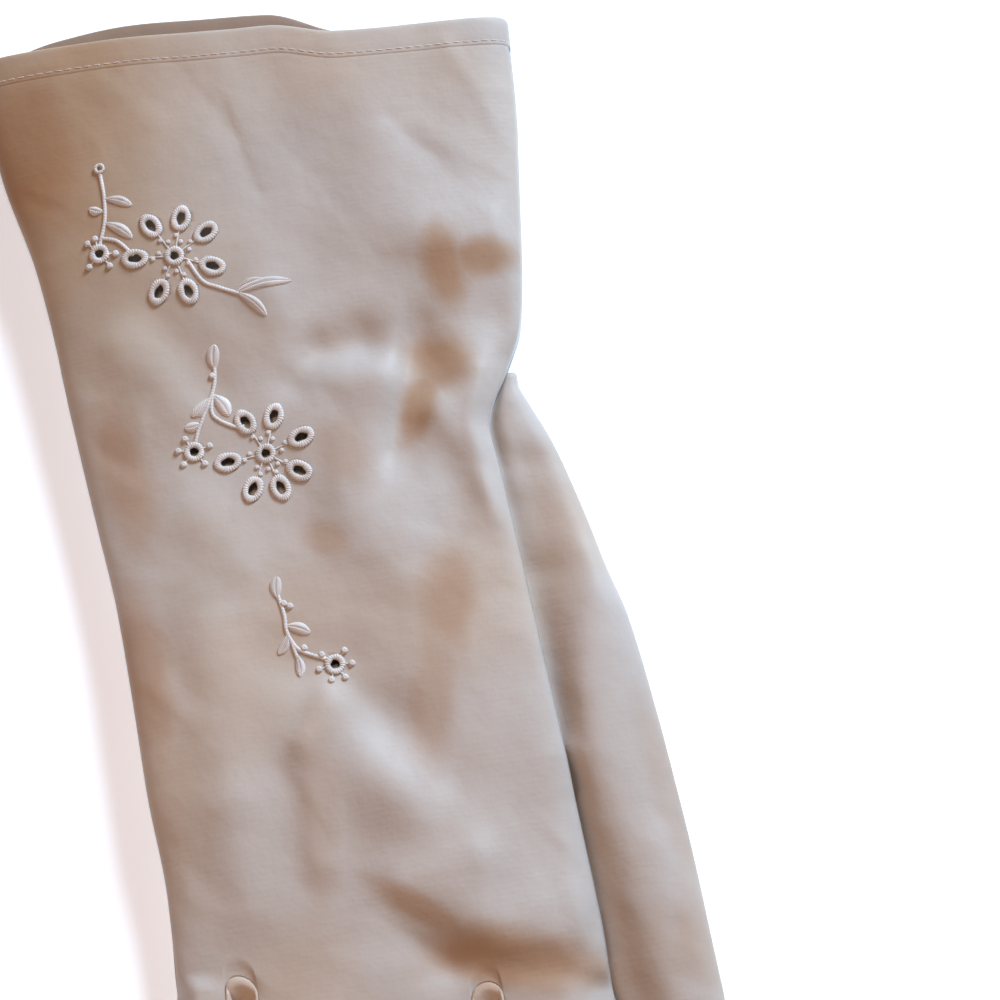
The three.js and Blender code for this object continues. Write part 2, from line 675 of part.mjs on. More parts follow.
// Turned and stitched band round the opening
function hem() {
  const ring = [];
  for (let k = 0; k < HEM_STEPS; k += 1) {
    ring.push({ across: k / HEM_STEPS, side: 1 });
  }
  for (let k = HEM_STEPS; k > 0; k -= 1) {
    ring.push({ across: k / HEM_STEPS, side: -1 });
  }
  const rows = [LENGTH - HEM_HEIGHT + HEM_GAP, LENGTH];
  const grid = rows.map((row) => ring.map(({ across, side }) => {
    const smoothAcross = (1 - Math.cos(Math.PI * across)) / 2;
    return {
      outer: bodyPoint(row, smoothAcross, side, 0, 0),
      inner: bodyPoint(row, smoothAcross, side, HEM_WALL, 0),
    };
  }));
  return cloth(grid, () => true, true);
}

// Extruded oval ring or disc of thread, lying on z = 0
function ovalRing(x, y, turn, long, wide, hole, height, sides) {
  const outline = [];
  const inside = [];
  for (let k = 0; k < sides; k += 1) {
    const angle = (2 * Math.PI * k) / sides;
    outline.push(new THREE.Vector2(long * Math.cos(angle), wide * Math.sin(angle)));
    if (hole) {
      inside.push(new THREE.Vector2(hole.long * Math.cos(angle), -hole.wide * Math.sin(angle)));
    }
  }
  const shape = new THREE.Shape(outline);
  if (hole) {
    shape.holes.push(new THREE.Path(inside));
  }
  const geometry = new THREE.ExtrudeGeometry(shape, { depth: height, bevelEnabled: false });
  geometry.rotateZ(turn);
  geometry.translate(x, y, 0);
  return toSolid(geometry);
}

// Ribbon of thread along a run of points
function stemSolid(points, width, height) {
  const left = [];
  const right = [];
  points.forEach((point, k) => {
    const before = points[Math.max(0, k - 1)];
    const after = points[Math.min(points.length - 1, k + 1)];
    const length = Math.hypot(after[0] - before[0], after[1] - before[1]);
    const nx = (-(after[1] - before[1]) / length) * (width / 2);
    const ny = ((after[0] - before[0]) / length) * (width / 2);
    left.push(new THREE.Vector2(point[0] + nx, point[1] + ny));
    right.push(new THREE.Vector2(point[0] - nx, point[1] - ny));
  });
  const shape = new THREE.Shape([...right, ...left.reverse()]);
  return toSolid(new THREE.ExtrudeGeometry(shape, { depth: height, bevelEnabled: false }));
}

function leafSolid({ x1, y1, x2, y2, width }) {
  const length = Math.hypot(x2 - x1, y2 - y1);
  const half = width / 2;
  const outline = LEAF_OUTLINE.map(({ along, off }) => new THREE.Vector2(along * length, off * half));
  const shape = new THREE.Shape(outline);
  const geometry = new THREE.ExtrudeGeometry(shape, { depth: LEAF_HEIGHT, bevelEnabled: false });
  geometry.rotateZ(Math.atan2(y2 - y1, x2 - x1));
  geometry.translate(x1, y1, 0);
  return toSolid(geometry);
}

// Point and direction at a reach from a flower's centre
function around(flower, degrees, reach) {
  const angle = (degrees * Math.PI) / 180;
  return { x: flower.x + reach * Math.cos(angle), y: flower.y + reach * Math.sin(angle), angle };
}

function knotSolid(x, y, radius) {
  return ovalRing(x, y, 0, radius, radius, null, KNOT_HEIGHT, KNOT_SIDES);
}

// Rings, petals, knots and stalks of one flower
function flowerSolids(flower) {
  const rimHole = { long: CENTRE.hole, wide: CENTRE.hole };
  const list = [ovalRing(flower.x, flower.y, 0, CENTRE.rim, CENTRE.rim, rimHole, RING_HEIGHT, RING_SIDES)];
  flower.turns.forEach((turn) => {
    const end = around(flower, turn, flower.reach);
    const from = around(flower, turn, (CENTRE.hole + CENTRE.rim) / 2);
    if (flower.kind === 'petal') {
      const hole = { long: PETAL.holeLong, wide: PETAL.holeWide };
      const { rimLong, rimWide } = PETAL;
      list.push(ovalRing(end.x, end.y, end.angle, rimLong, rimWide, hole, RING_HEIGHT, RING_SIDES));
      const stalk = around(flower, turn, flower.reach - (PETAL.rimLong + PETAL.holeLong) / 2);
      list.push(stemSolid([[from.x, from.y], [stalk.x, stalk.y]], STEM_WIDTH, STEM_HEIGHT));
      const dot = around(flower, turn + DOT_TURN, DOT_REACH);
      list.push(knotSolid(dot.x, dot.y, DOT_RADIUS));
    } else {
      list.push(knotSolid(end.x, end.y, KNOT_RADIUS));
      list.push(stemSolid([[from.x, from.y], [end.x, end.y]], STEM_WIDTH / 2, STEM_HEIGHT));
    }
  });
  return list;
}

// Height of the cloth's upper surface, found by a ray from above
function heightFinder(geometry) {
  const mesh = new THREE.Mesh(geometry, new THREE.MeshStandardMaterial());
  const ray = new THREE.Raycaster();
  const down = new THREE.Vector3(0, 0, -1);
  return (x, y) => {
    ray.set(new THREE.Vector3(x, y, CUT_DEPTH), down);
    return ray.intersectObject(mesh)[0].point.z;
  };
}

// All thread of one spray fused to one body, laid on the cloth
function sprayGeometry(name, heightAt) {
  const parts = [];
  for (const flower of FLOWERS.filter((item) => item.spray === name)) {
    parts.push(...flowerSolids(flower));
  }
  for (const leaf of LEAVES.filter((item) => item.spray === name)) {
    parts.push(leafSolid(leaf));
  }
  for (const stem of STEMS.filter((item) => item.spray === name)) {
    parts.push(stemSolid(stem.points, STEM_WIDTH, STEM_HEIGHT));
  }
  for (const knot of KNOTS.filter((item) => item.spray === name)) {
    parts.push(knotSolid(knot.x, knot.y, KNOT_RADIUS));
  }
  if (BUD.spray === name) {
    const hole = { long: BUD_RING.hole, wide: BUD_RING.hole };
    parts.push(ovalRing(BUD.x, BUD.y, 0, BUD_RING.rim, BUD_RING.rim, hole, STEM_HEIGHT, KNOT_SIDES));
  }
  const geometry = fromSolid(parts.reduce((whole, part) => whole.add(part)));
  const points = geometry.attributes.position;
  for (let k = 0; k < points.count; k += 1) {
    points.setZ(k, points.getZ(k) + heightAt(points.getX(k), points.getY(k)) + LIFT);
  }
  return geometry;
}

// Eyelets cut through the back, oval in the petals and round in the centres
function pierce(geometry) {
  let solid = toSolid(geometry);
  for (const flower of FLOWERS) {
    const { x, y } = flower;
    solid = solid.subtract(ovalRing(x, y, 0, CENTRE.hole, CENTRE.hole, null, CUT_DEPTH, RING_SIDES));
    if (flower.kind === 'petal') {
      for (const turn of flower.turns) {
        const end = around(flower, turn, flower.reach);
        const { holeLong, holeWide } = PETAL;
        const hole = ovalRing(end.x, end.y, end.angle, holeLong, holeWide, null, CUT_DEPTH, RING_SIDES);
        solid = solid.subtract(hole);
      }
    }
  }
  return fromSolid(solid);
}

const glove = new THREE.Group();
glove.position.set(-ORIGIN.x, -ORIGIN.y, 0);

function addPiece(name, geometry, finish) {
  geometry.computeVertexNormals();
  const mesh = new THREE.Mesh(geometry, new THREE.MeshStandardMaterial(finish));
  mesh.name = name;
  glove.add(mesh);
}

const backCloth = panel(1, BACK_SHARES);
const heightAt = heightFinder(backCloth);
addPiece('back_panel', pierce(backCloth), CLOTH);
addPiece('palm_panel', panel(-1, PALM_SHARES), CLOTH);
FINGERS.forEach((finger, index) => {
  addPiece(`back_${finger.name}`, strip(index, 1, BACK_SHARES), CLOTH);
  addPiece(`palm_${finger.name}`, strip(index, -1, PALM_SHARES), CLOTH);
});
addPiece('thumb', thumb(), CLOTH);
for (let index = 0; index < FINGERS.length - 1; index += 1) {
  const name = `fourchette_${FINGERS[index + 1].name}_${FINGERS[index].name}`;
  addPiece(name, fourchette(index), CLOTH_SHADE);
}
addPiece('cuff_hem', hem(), CLOTH);
for (const spray of ['upper', 'middle', 'lower']) {
  addPiece(`spray_${spray}`, sprayGeometry(spray, heightAt), THREAD);
}

export default glove;
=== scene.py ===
import math
import random

import bpy
import numpy as np
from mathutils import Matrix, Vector


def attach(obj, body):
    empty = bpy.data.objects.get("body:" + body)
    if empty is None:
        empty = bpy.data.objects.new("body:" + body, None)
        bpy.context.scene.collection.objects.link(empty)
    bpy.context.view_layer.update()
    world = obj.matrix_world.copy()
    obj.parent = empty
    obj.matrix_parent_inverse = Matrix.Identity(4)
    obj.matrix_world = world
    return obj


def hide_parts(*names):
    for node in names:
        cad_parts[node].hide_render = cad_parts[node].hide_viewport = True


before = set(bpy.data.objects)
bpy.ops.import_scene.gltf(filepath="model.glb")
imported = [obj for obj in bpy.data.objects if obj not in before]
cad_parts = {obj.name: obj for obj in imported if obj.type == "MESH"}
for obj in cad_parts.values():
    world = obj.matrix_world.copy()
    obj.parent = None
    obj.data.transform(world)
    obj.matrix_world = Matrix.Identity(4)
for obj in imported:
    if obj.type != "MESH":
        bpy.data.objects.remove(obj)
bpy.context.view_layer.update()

# Embroidered dress glove for the right hand, lying palm down.
# Shapes are in millimetres and share one origin: x = 0 in the middle of the hand,
# y = 0 at the crotch between index and middle finger. ORIGIN is the middle of the footprint.
MM = 0.001
ORIGIN = (1.74, 62.22)

# The photograph's camera
CAMERA_EYE = (16.67, -21.67, 434.67)
CAMERA_TARGET = (35.29, 93.30, 0)
CAMERA_LENS = 81
CAMERA_SENSOR = 36
CAMERA_NEAREST = 10

# Cloth and seams
CLOTH = 0.5
SEAM_SHARE = 0.43
FINGER_SEAM_SHARE = 0.5
TOP_ROUNDNESS = 3.6
BOTTOM_ROUNDNESS = 5
FINGER_ROUNDNESS = 2.5
ROOT_ROUNDNESS = 6
FLAT_SHARE = 1.06
SEAM_GAP = 0.01

# Length of the cuff and hand from the crotches to the opening, and where the straight rows
# begin to follow the slanted opening and the knuckles
LENGTH = 198
HEM_HEIGHT = 6.5
SLANT_START = 120
CROTCH_FADE = 50
FINGER_SETTLE = 0.35

# Crotches between the fingers: reach of the blend into the fingers, its dip, and the arch
CROTCH_BLEND = 14
CROTCH_DIP = 4
CROTCH_ROUND = 3.0
CROTCH_ROUNDNESS = 2
CROTCH_WEB = 5.0
WEB_ROUNDNESS = 4

# Side strips between the fingers: half widths, bulge, and shares of the finger's length
FOURCHETTE_ROOT_TOP = 4.8
FOURCHETTE_ROOT_LOW = 3.2
FOURCHETTE_HALF = 1.9
FOURCHETTE_END_HALF = 0.6
FOURCHETTE_BULGE = 1.2
FOURCHETTE_END_BULGE = 0.5
FOURCHETTE_ROOT = 0.3
FOURCHETTE_TAPER = 0.3
FOURCHETTE_END = 0.86

# Stitches of the hem: their length, pitch, thickness, and the row's place from the hem's edge
HEM_STITCH = 1.3
HEM_STITCH_STEP = 2.0
HEM_STITCH_RADIUS = 0.1
HEM_STITCH_RISE = 0.06
HEM_STITCH_ROW = 1.1
HEM_STITCH_START = 0.5
HEM_STITCH_END = 2
HEM_STITCH_LIFT = 0.05
HEM_LOOP_POINTS = 400
STITCH_POINTS = 6
STITCH_FLATNESS = 0.8
STITCH_SIDES = 6

# How far the panels reach under the hem, and how deep they lie there
HEM_OVERLAP = 2.5
HEM_SINK = 0.35


# Shares from 0 to 1 that crowd toward both ends
def crowded(count):
    return (1 - np.cos(np.linspace(0, math.pi, count))) / 2


# Grid steps of the fine cloth
ROW_STEP = {1: 0.8, -1: 1.5}
FINGER_ROWS = {1: 72, -1: 40}
FINGER_COLUMNS = {1: 26, -1: 16}
EDGE_EVENNESS = 0.45
TIP_EVENNESS = 0.6
CROTCH_COLUMNS = 11
CROTCH_SHARES = crowded(CROTCH_COLUMNS)[1:-1]
FOURCHETTE_COLUMNS = 13
FOURCHETTE_ROWS = 70
THUMB_STEP = 1.1
THUMB_ROWS = 60
THUMB_SUBDIVISION = 6
HEM_COLUMNS = 110
LANE_FLATNESS = 4
NEARLY_ZERO = 1e-9


# Rows of a table, each with its values under the names in the heading
def table(heading, rows):
    return [dict(zip(heading.split(), row)) for row in rows]


# Outline of the cuff and hand from above: left and right edge and height at each y
BODY = table("y left right height", [
    (-8, -40.2, 40.5, 9.6),
    (5, -39.6, 40.9, 9.8),
    (25, -39.3, 40.2, 10.8),
    (45, -40.7, 39.2, 11.6),
    (63, -41.3, 38.2, 11.6),
    (81, -42.2, 37.2, 11.2),
    (98, -44.1, 36.1, 10.8),
    (106, -45.0, 35.5, 10.8),
    (118, -46.3, 41.0, 11.2),
    (126, -47.1, 44.8, 11.6),
    (137, -48.0, 47.0, 12.2),
    (154, -50.2, 49.3, 12.8),
    (175, -54.9, 51.9, 13.2),
    (194, -57.2, 53.1, 14.0),
    (206, -58.0, 54.2, 14.4),
])

# How far the opening's edge leans from a straight cut, for the upper and the lower layer
OPENING = table("across upper lower", [
    (0, 1.6, 3.6),
    (0.14, 1.1, 9.0),
    (0.28, 0.4, 10.4),
    (0.43, -0.8, 9.3),
    (0.55, -1.4, 8.2),
    (0.67, -4.7, 2.3),
    (0.79, -5.4, -1.5),
    (1, -5.1, -5.1),
])

# How far the crotches and knuckles lie from a straight line across the hand
KNUCKLES = table("across offset", [
    (0, 7.2),
    (0.15, 5.7),
    (0.29, -1.8),
    (0.43, -6.8),
    (0.57, -5.8),
    (0.71, -2.8),
    (0.87, -2.8),
    (1, -4.8),
])

# Fingers: their lane across the hand, the tip's place, half width and height
FINGERS = table("name start end tip_x tip_y half height", [
    ("little", 0, 0.122, -41.5, -46, 7.0, 9.0),
    ("ring", 0.181, 0.402, -19.0, -72, 8.4, 9.4),
    ("middle", 0.457, 0.681, 7.0, -80, 8.6, 9.6),
    ("index", 0.735, 1, 34.0, -70, 8.8, 9.6),
])
TIP_RADIUS = 9
TIP_WIDTH_SHARE = 0.5
TIP_BULGE = 2.5

# Section of the folded hem: place from its lower or upper edge, and depth below the surface
HEM_SECTION = [
    ("low", 0, 0.5), ("low", -0.05, 0.2), ("low", 0.15, -0.02), ("low", 0.6, -0.08),
    ("low", 1.1, -0.04), ("low", 1.7, -0.1), ("low", 2.8, -0.12),
    ("high", -3.0, -0.12), ("high", -1.8, -0.12), ("high", -0.9, -0.1), ("high", -0.35, -0.02),
    ("high", -0.05, 0.16), ("high", 0, 0.42), ("high", -0.15, 0.75), ("high", -0.6, 0.9),
    ("high", -2.0, 0.9), ("high", -4.0, 0.9), ("low", 0.6, 0.88), ("low", 0, 0.75),
]

# Thumb: inner and outer edge from above and height at each y
THUMB = table("y inner outer height", [
    (-10, 46.5, 61.3, 8.4),
    (0, 44.8, 60.9, 8.6),
    (15, 42.9, 60.4, 8.6),
    (32, 41.6, 59.4, 8.2),
    (45, 40, 58.4, 8.0),
    (65, 38, 56.2, 7.6),
    (76, 37, 53.6, 7.2),
    (86, 36, 51.6, 6.8),
    (102, 35, 47.7, 6.4),
    (111, 36, 44.3, 6.2),
    (115, 38, 42.7, 6.0),
])
THUMB_TIP = (54, -23, 3.9)
THUMB_TUBE_START = 33
THUMB_ROUND = 15
THUMB_JOIN = 46
THUMB_CLEAR = -0.2
THUMB_LEAN = 4.5
THUMB_FOLD_START = 0.35
GUSSET_POINT = 117.5
GUSSET_TOP = 120
GUSSET_FULL = 112
THUMB_HOLE_LOW = 40
THUMB_HOLE_END = 32
LAP_HEIGHT = 7.2
LAP_GAP = 0.5
LAP_UNDER = 1.0
LAP_FULLNESS = 0.6
PALM_SET_BACK = 3

# Section round the thumb, from the lap under the hand's edge, over the outer side, to the palm
THUMB_PROFILE = table("across up lean", [
    (0, 0.42, 1),
    (0.09, 0.78, 0.3),
    (0.33, 1, 0),
    (0.72, 0.97, 0),
    (0.93, 0.76, 0),
    (1, 0.42, 0),
    (0.92, 0, 0),
    (0.5, 0, 0.2),
    (0.08, 0, 1),
])

# Folds of the back: a line from (x1, y1) to (x2, y2), its rise, and how far it spreads
# to the left and to the right of the line's direction
FOLDS = table("x1 y1 x2 y2 rise left right", [
    (10.5, 191.5, 19, 171, 0.8, 10, 9),
    (-21, 193.5, -28, 161, 1, 18, 16),
    (26.5, 185.5, 19.5, 153.5, 0.8, 9, 9),
    (-34.5, 133, -24, 120, 0.8, 6, 5),
    (-27, 139.5, -18.5, 123.5, -0.8, 5, 6),
    (-3.5, 139, 0, 126.5, 1, 6, 6),
    (-1, 121, 4, 126, -1.3, 4, 4.5),
    (4, 126, 12.5, 126.5, -1.5, 5, 5),
    (12.5, 126.5, 22, 123.5, -1.1, 6, 5),
    (5.5, 122, 16.5, 119, 1, 6, 6),
    (23.5, 126, 16.5, 104.5, -1.9, 9, 3),
    (30, 128.5, 34.5, 111, 1, 8, 6),
    (28.5, 146.5, 46.5, 144, 1.5, 10, 6),
    (27, 131, 42, 127.5, -1.1, 6, 6),
    (35, 117, 34.5, 103, 1.1, 4, 4),
    (26, 110, 35.5, 89.5, 1.7, 6, 4),
    (24, 108.5, 16.5, 88, 1.3, 6, 6),
    (29.5, 98.5, 24.5, 87.5, -1, 5, 5),
    (14, 119, 5.5, 86.5, 1.1, 8, 7),
    (3, 118.5, -2, 108, 0.8, 6, 6),
    (5.5, 96.5, 13, 79, 1.1, 7, 6),
    (-24.5, 98, -16.5, 86, 1, 6, 6),
    (-25, 79.5, -21, 68, 0.8, 6, 6),
    (-25.5, 69.5, -23.5, 42, 1, 7, 6),
    (-26.5, 38.5, -23.5, 20.5, 1, 7, 6),
    (-21, 69, -8, 64, -0.8, 6, 6),
    (-14.5, 60, -13.5, 46.5, 0.6, 6, 6),
    (-4.5, 57.5, -9.5, 49, 0.8, 4, 3),
    (-9.5, 49, -10, 26.5, 0.8, 4, 3),
    (0.5, 62, 7, 50.5, -1.3, 7, 6),
    (7, 50.5, 14, 38, -1, 7, 6),
    (-3.5, 53, 7.5, 37, 1.1, 7, 8),
    (7.5, 37, 18.5, 24, 1.5, 7, 8),
    (4, 19.5, 15, 11.5, 1.1, 7, 6),
    (15, 11.5, 22.5, 9, 1.1, 9, 7),
    (22.5, 9, 40.5, 9.5, 1.3, 9, 8),
    (2, 17, 12, 5.5, -1, 6, 5),
    (12, 5.5, 24.5, -6.5, -1.1, 8, 6),
    (18.5, 23, 6, 20, 0.8, 6, 4),
])

# Folds of the thumb, with the same columns
THUMB_FOLDS = table("x1 y1 x2 y2 rise left right", [
    (41, 111, 36.5, 97, 0.9, 4, 4),
    (41, 97.5, 41.5, 78, -1, 5, 5),
    (40, 75, 40, 44.5, -1.4, 4, 5),
    (52.5, 77, 39.5, 28, 1.6, 8, 5),
    (39.5, 28, 43, -7.5, -0.8, 5, 4),
    (58, 57, 59, 16, -0.6, 8, 8),
    (54, 19, 54.5, -9, 0.8, 8, 6),
])
FOLD_EDGE = 0.06
FOLD_START = 9

# Fine creases: their number, and the least and most of their place, length, rise and spread
CREASE_SEED = 7
CREASE_COUNT = 130
CREASE_X = (-55, 62)
CREASE_Y = (-78, 196)
CREASE_TURN = math.radians(-55)
CREASE_TURN_SPREAD = 0.55
CREASE_LENGTH = (5, 26)
CREASE_RISE = (0.05, 0.22)
CREASE_WIDTH = (1.2, 4.5)
CREASE_EDGE = 0.06


# Fine creases scattered over the whole glove, always the same
def scatter_creases():
    pick = random.Random(CREASE_SEED)
    creases = []
    for _ in range(CREASE_COUNT):
        x, y = pick.uniform(*CREASE_X), pick.uniform(*CREASE_Y)
        angle = pick.gauss(CREASE_TURN, CREASE_TURN_SPREAD)
        length = pick.uniform(*CREASE_LENGTH)
        creases.append(dict(
            x1=x, y1=y, x2=x + length * math.cos(angle), y2=y + length * math.sin(angle),
            rise=pick.choice((-1, 1)) * pick.uniform(*CREASE_RISE),
            left=pick.uniform(*CREASE_WIDTH), right=pick.uniform(*CREASE_WIDTH),
        ))
    return creases


CREASES = scatter_creases()

# Embroidery: rims of the eyelets, and the thread wound over them
LIFT = 0.05
PETAL = dict(hole_long=1.35, hole_wide=0.8, rim_long=2.75, rim_wide=2.0)
CENTRE = dict(hole=0.85, rim=2.0)
STITCH_STEP = 0.42
STITCH_RIDGE = 0.11
STEPS_A_STITCH = 6
RIM_HEIGHT = 0.7
RIM_RISE = 0.5
RIM_SEAT = 0.24
RIM_SIDES = 12
RIM_WOBBLE = ((0.08, 3), (0.06, 5))
EYELET_PULL_LIMIT = 0.3

# Knots and dots; DOTS gives each dot's reach from the centre and its turn from the petal
KNOT_RADIUS = 0.7
KNOT_HEIGHT = 0.8
DOT_RADIUS = 0.52
DOT_HEIGHT = 0.6
DOTS = ((3.2, -13), (4.3, 5))
KNOT_RINGS = 7
KNOT_SIDES = 16
KNOT_WRAPS = 3
KNOT_SPIRAL = 5
KNOT_SWELL = 0.07
KNOT_DIMPLE = 0.25
KNOT_DIMPLE_SHARPNESS = 3
KNOT_SINK = 0.1

# Leaves: slanted stitches on both sides of a groove
LEAF_HEIGHT = 0.55
LEAF_FULLNESS = 0.6
LEAF_FORWARD = 1.25
LEAF_BLUNTNESS = 0.6
LEAF_LEAST = 0.02
LEAF_ROW_STEP = 0.07
LEAF_ROWS = 24
LEAF_COLUMNS = 17
LEAF_BOW = 0.07
LEAF_SLANT = 0.9
LEAF_GROOVE = 0.28
LEAF_GROOVE_WIDTH = 0.16
LEAF_END = 0.45
LEAF_RIDGE = 0.2
LEAF_EDGE_RIDGE = 0.05
LEAF_SINK = 0.08

# Stems and the thinner stalks of petals and knots: twisted thread
STEM_WIDTH = 0.75
STALK_WIDTH = 0.35
STEM_SUBDIVISION = 14
STEM_STEP = 0.11
STEM_POINTS = 8
STEM_TWIST = 0.09
STEM_PITCH = STITCH_STEP * 1.5
STEM_LIFT = 0.12
STEM_FLATNESS = 0.72
STEM_SIDES = 10

# Eyelet flowers: their centre, and the direction and reach of each petal or knot
FLOWERS = table("spray kind x y reach turns", [
    ("upper", "petal", -21.4, 150, 7.9, [119, 73, 30, -24, -77, -121, 175]),
    ("upper", "knot", -36.2, 153.0, 3.3, [129, -136, -58, -9, 98]),
    ("middle", "petal", -9, 107, 7.6, [114, 70, 15, -37, -75, -117, -176]),
    ("middle", "knot", -22.8, 109.6, 3.2, [117, 167, -137, -57, 14]),
    ("lower", "knot", -1.5, 63.4, 3.2, [136, 48, -5, -61, -110, -170]),
])

# Leaves and buds: from the stem to the tip, and the width in the middle
LEAVES = table("spray x1 y1 x2 y2 width", [
    ("upper", -33.8, 164.3, -28.4, 161.9, 1.7),
    ("upper", -34.4, 159.2, -29.2, 155.1, 1.9),
    ("upper", -34.2, 161.6, -37.2, 162.8, 1.6),
    ("upper", -10.6, 140.6, -4.6, 142.4, 1.8),
    ("upper", -10.2, 140.4, 1.0, 141.2, 1.9),
    ("upper", -10.2, 140.6, -4.9, 134.7, 1.7),
    ("middle", -16.6, 125.6, -16.1, 130.8, 2.3),
    ("middle", -17.9, 120.8, -15.0, 115.8, 2.4),
    ("middle", -18.2, 120.2, -22.3, 116.7, 2.2),
    ("middle", -20.6, 115.0, -24.0, 114.6, 1.8),
    ("lower", -10.6, 77.6, -10.2, 82.2, 2.0),
    ("lower", -9.9, 72.2, -5.3, 70.1, 1.9),
    ("lower", -9.6, 70.6, -11.9, 66.8, 1.7),
    ("lower", -8.5, 66.4, -8.4, 61.9, 1.6),
])

# Stems: each is a short run of points
STEMS = [
    dict(spray="upper", points=[(-34, 170), (-33.8, 164.5), (-34.3, 159.5), (-36, 154.5)]),
    dict(spray="upper", points=[(-35.6, 156.2), (-32.3, 154.9), (-29.4, 151.4)]),
    dict(spray="upper", points=[(-18.9, 148.6), (-16.6, 144.1), (-13.5, 142.2), (-9.8, 140.3)]),
    dict(spray="middle", points=[
        (-16.6, 126.4), (-17.2, 122.6), (-19, 118.5), (-21.4, 113.8), (-22.5, 111),
    ]),
    dict(spray="middle", points=[(-17.7, 121), (-18.2, 116.5), (-14.6, 113.6), (-12.4, 113.2)]),
    dict(spray="lower", points=[
        (-10.5, 78.6), (-9.8, 74.4), (-9.8, 71.6), (-9.2, 69.3), (-7.5, 66.9), (-2.6, 64.4),
    ]),
    dict(spray="lower", points=[(-9.2, 69.3), (-8.5, 65.8)]),
]

# Single knots, and the small ring that ends the upper spray
KNOTS = table("spray x y", [
    ("middle", -17.3, 124.6),
    ("lower", -9.6, 76.6),
    ("lower", -8.5, 75.9),
    ("lower", -6.9, 67.4),
])
BUDS = [dict(spray="upper", x=-34, y=170.8, hole=0.45, rim=1.15)]


# Smooth value of one column of a table, for a number or an array
def track(rows, key, column, at):
    keys = np.array([row[key] for row in rows], float)
    values = np.array([row[column] for row in rows], float)
    span = np.diff(keys)
    slope = np.diff(values) / span
    before, after = slope[:-1], slope[1:]
    same = before * after > 0
    total = np.where(same, before + after, 1)
    inner = np.where(same, 2 * before * after / total, 0)
    tangent = np.concatenate([[slope[0]], inner, [slope[-1]]])
    at = np.clip(np.asarray(at, float), keys[0], keys[-1])
    i = np.clip(np.searchsorted(keys, at, side="right") - 1, 0, len(span) - 1)
    t = (at - keys[i]) / span[i]
    start = values[i] * (1 + 2 * t) * (1 - t) ** 2 + span[i] * tangent[i] * t * (1 - t) ** 2
    end = values[i + 1] * t * t * (3 - 2 * t) + span[i] * tangent[i + 1] * t * t * (t - 1)
    return start + end


def smooth(value):
    t = np.clip(value, 0, 1)
    return t * t * (3 - 2 * t)


def mix(a, b, share):
    return a + (b - a) * share


def dome(across, roundness):
    return (1 - np.minimum(1, np.abs(across)) ** roundness) ** (1 / roundness)


# Rise of the cloth at (x, y) from one table of folds
def fold_rise(folds, x, y):
    rise = np.zeros(np.broadcast(x, y).shape)
    for fold in folds:
        dx, dy = fold["x2"] - fold["x1"], fold["y2"] - fold["y1"]
        t = np.clip(((x - fold["x1"]) * dx + (y - fold["y1"]) * dy) / (dx * dx + dy * dy), 0, 1)
        off_x = x - fold["x1"] - t * dx
        off_y = y - fold["y1"] - t * dy
        distance = np.hypot(off_x, off_y)
        turn = (dx * off_y - dy * off_x) / (math.hypot(dx, dy) * distance + NEARLY_ZERO)
        width = mix(fold["right"], fold["left"], (turn + 1) / 2)
        rise += fold["rise"] * np.exp(-((distance / width) ** 2))
    return rise


# y of a row: straight in the middle of the hand, along the knuckles and the opening at its ends
def row_y(row, across, side):
    knuckle = track(KNUCKLES, "across", "offset", across) * (1 - smooth(row / CROTCH_FADE))
    lean = track(OPENING, "across", "upper" if side > 0 else "lower", across)
    return row + knuckle + lean * smooth((row - SLANT_START) / (LENGTH - SLANT_START))


# 1 where the thumb's gusset is set in, 0 where the side seam is closed
def thumb_zone(row):
    start = np.clip((GUSSET_TOP - row) / (GUSSET_TOP - GUSSET_FULL), 0, 1)
    end = np.clip((row - THUMB_HOLE_END) / (THUMB_HOLE_LOW - THUMB_HOLE_END), 0, 1)
    return np.minimum(start, end)


# Points of the cuff and hand; side is 1 for the back and -1 for the palm
def body_points(row, across, side, inset=0, gap=SEAM_GAP):
    row, across = np.broadcast_arrays(np.asarray(row, float), np.asarray(across, float))
    y = row_y(row, across, side)
    left = track(BODY, "y", "left", y)
    right = track(BODY, "y", "right", y)
    height = track(BODY, "y", "height", y)
    centred = 2 * across - 1
    x = (left + right) / 2 + ((right - left) / 2 - inset) * centred
    zone = thumb_zone(row) * smooth(centred)
    if side > 0:
        seam = mix(SEAM_SHARE * height, LAP_HEIGHT, zone) + gap / 2
        arch = dome(centred, TOP_ROUNDNESS)
        z = seam + (height - seam - inset) * arch + relief(x, y, across, row)
        return np.stack([x, y, z], axis=-1)
    seam = (SEAM_SHARE * height - gap / 2) * (1 - zone)
    arch = np.minimum(1, FLAT_SHARE * dome(centred, BOTTOM_ROUNDNESS))
    z = mix(seam, 0, arch) + np.maximum(0, inset) * mix(arch, 1, zone)
    return np.stack([x - (PALM_SET_BACK - inset) * zone * centred, y, z], axis=-1)


# Folds and creases of the back, fading out toward the side seams and the crotches
def relief(x, y, across, row):
    edge = np.minimum(across, 1 - across)
    large = fold_rise(FOLDS, x, y) * smooth(edge / FOLD_EDGE)
    small = fold_rise(CREASES, x, y) * smooth(edge / CREASE_EDGE)
    return large * smooth(row / FOLD_START) + small * smooth(row / CROTCH_BLEND)


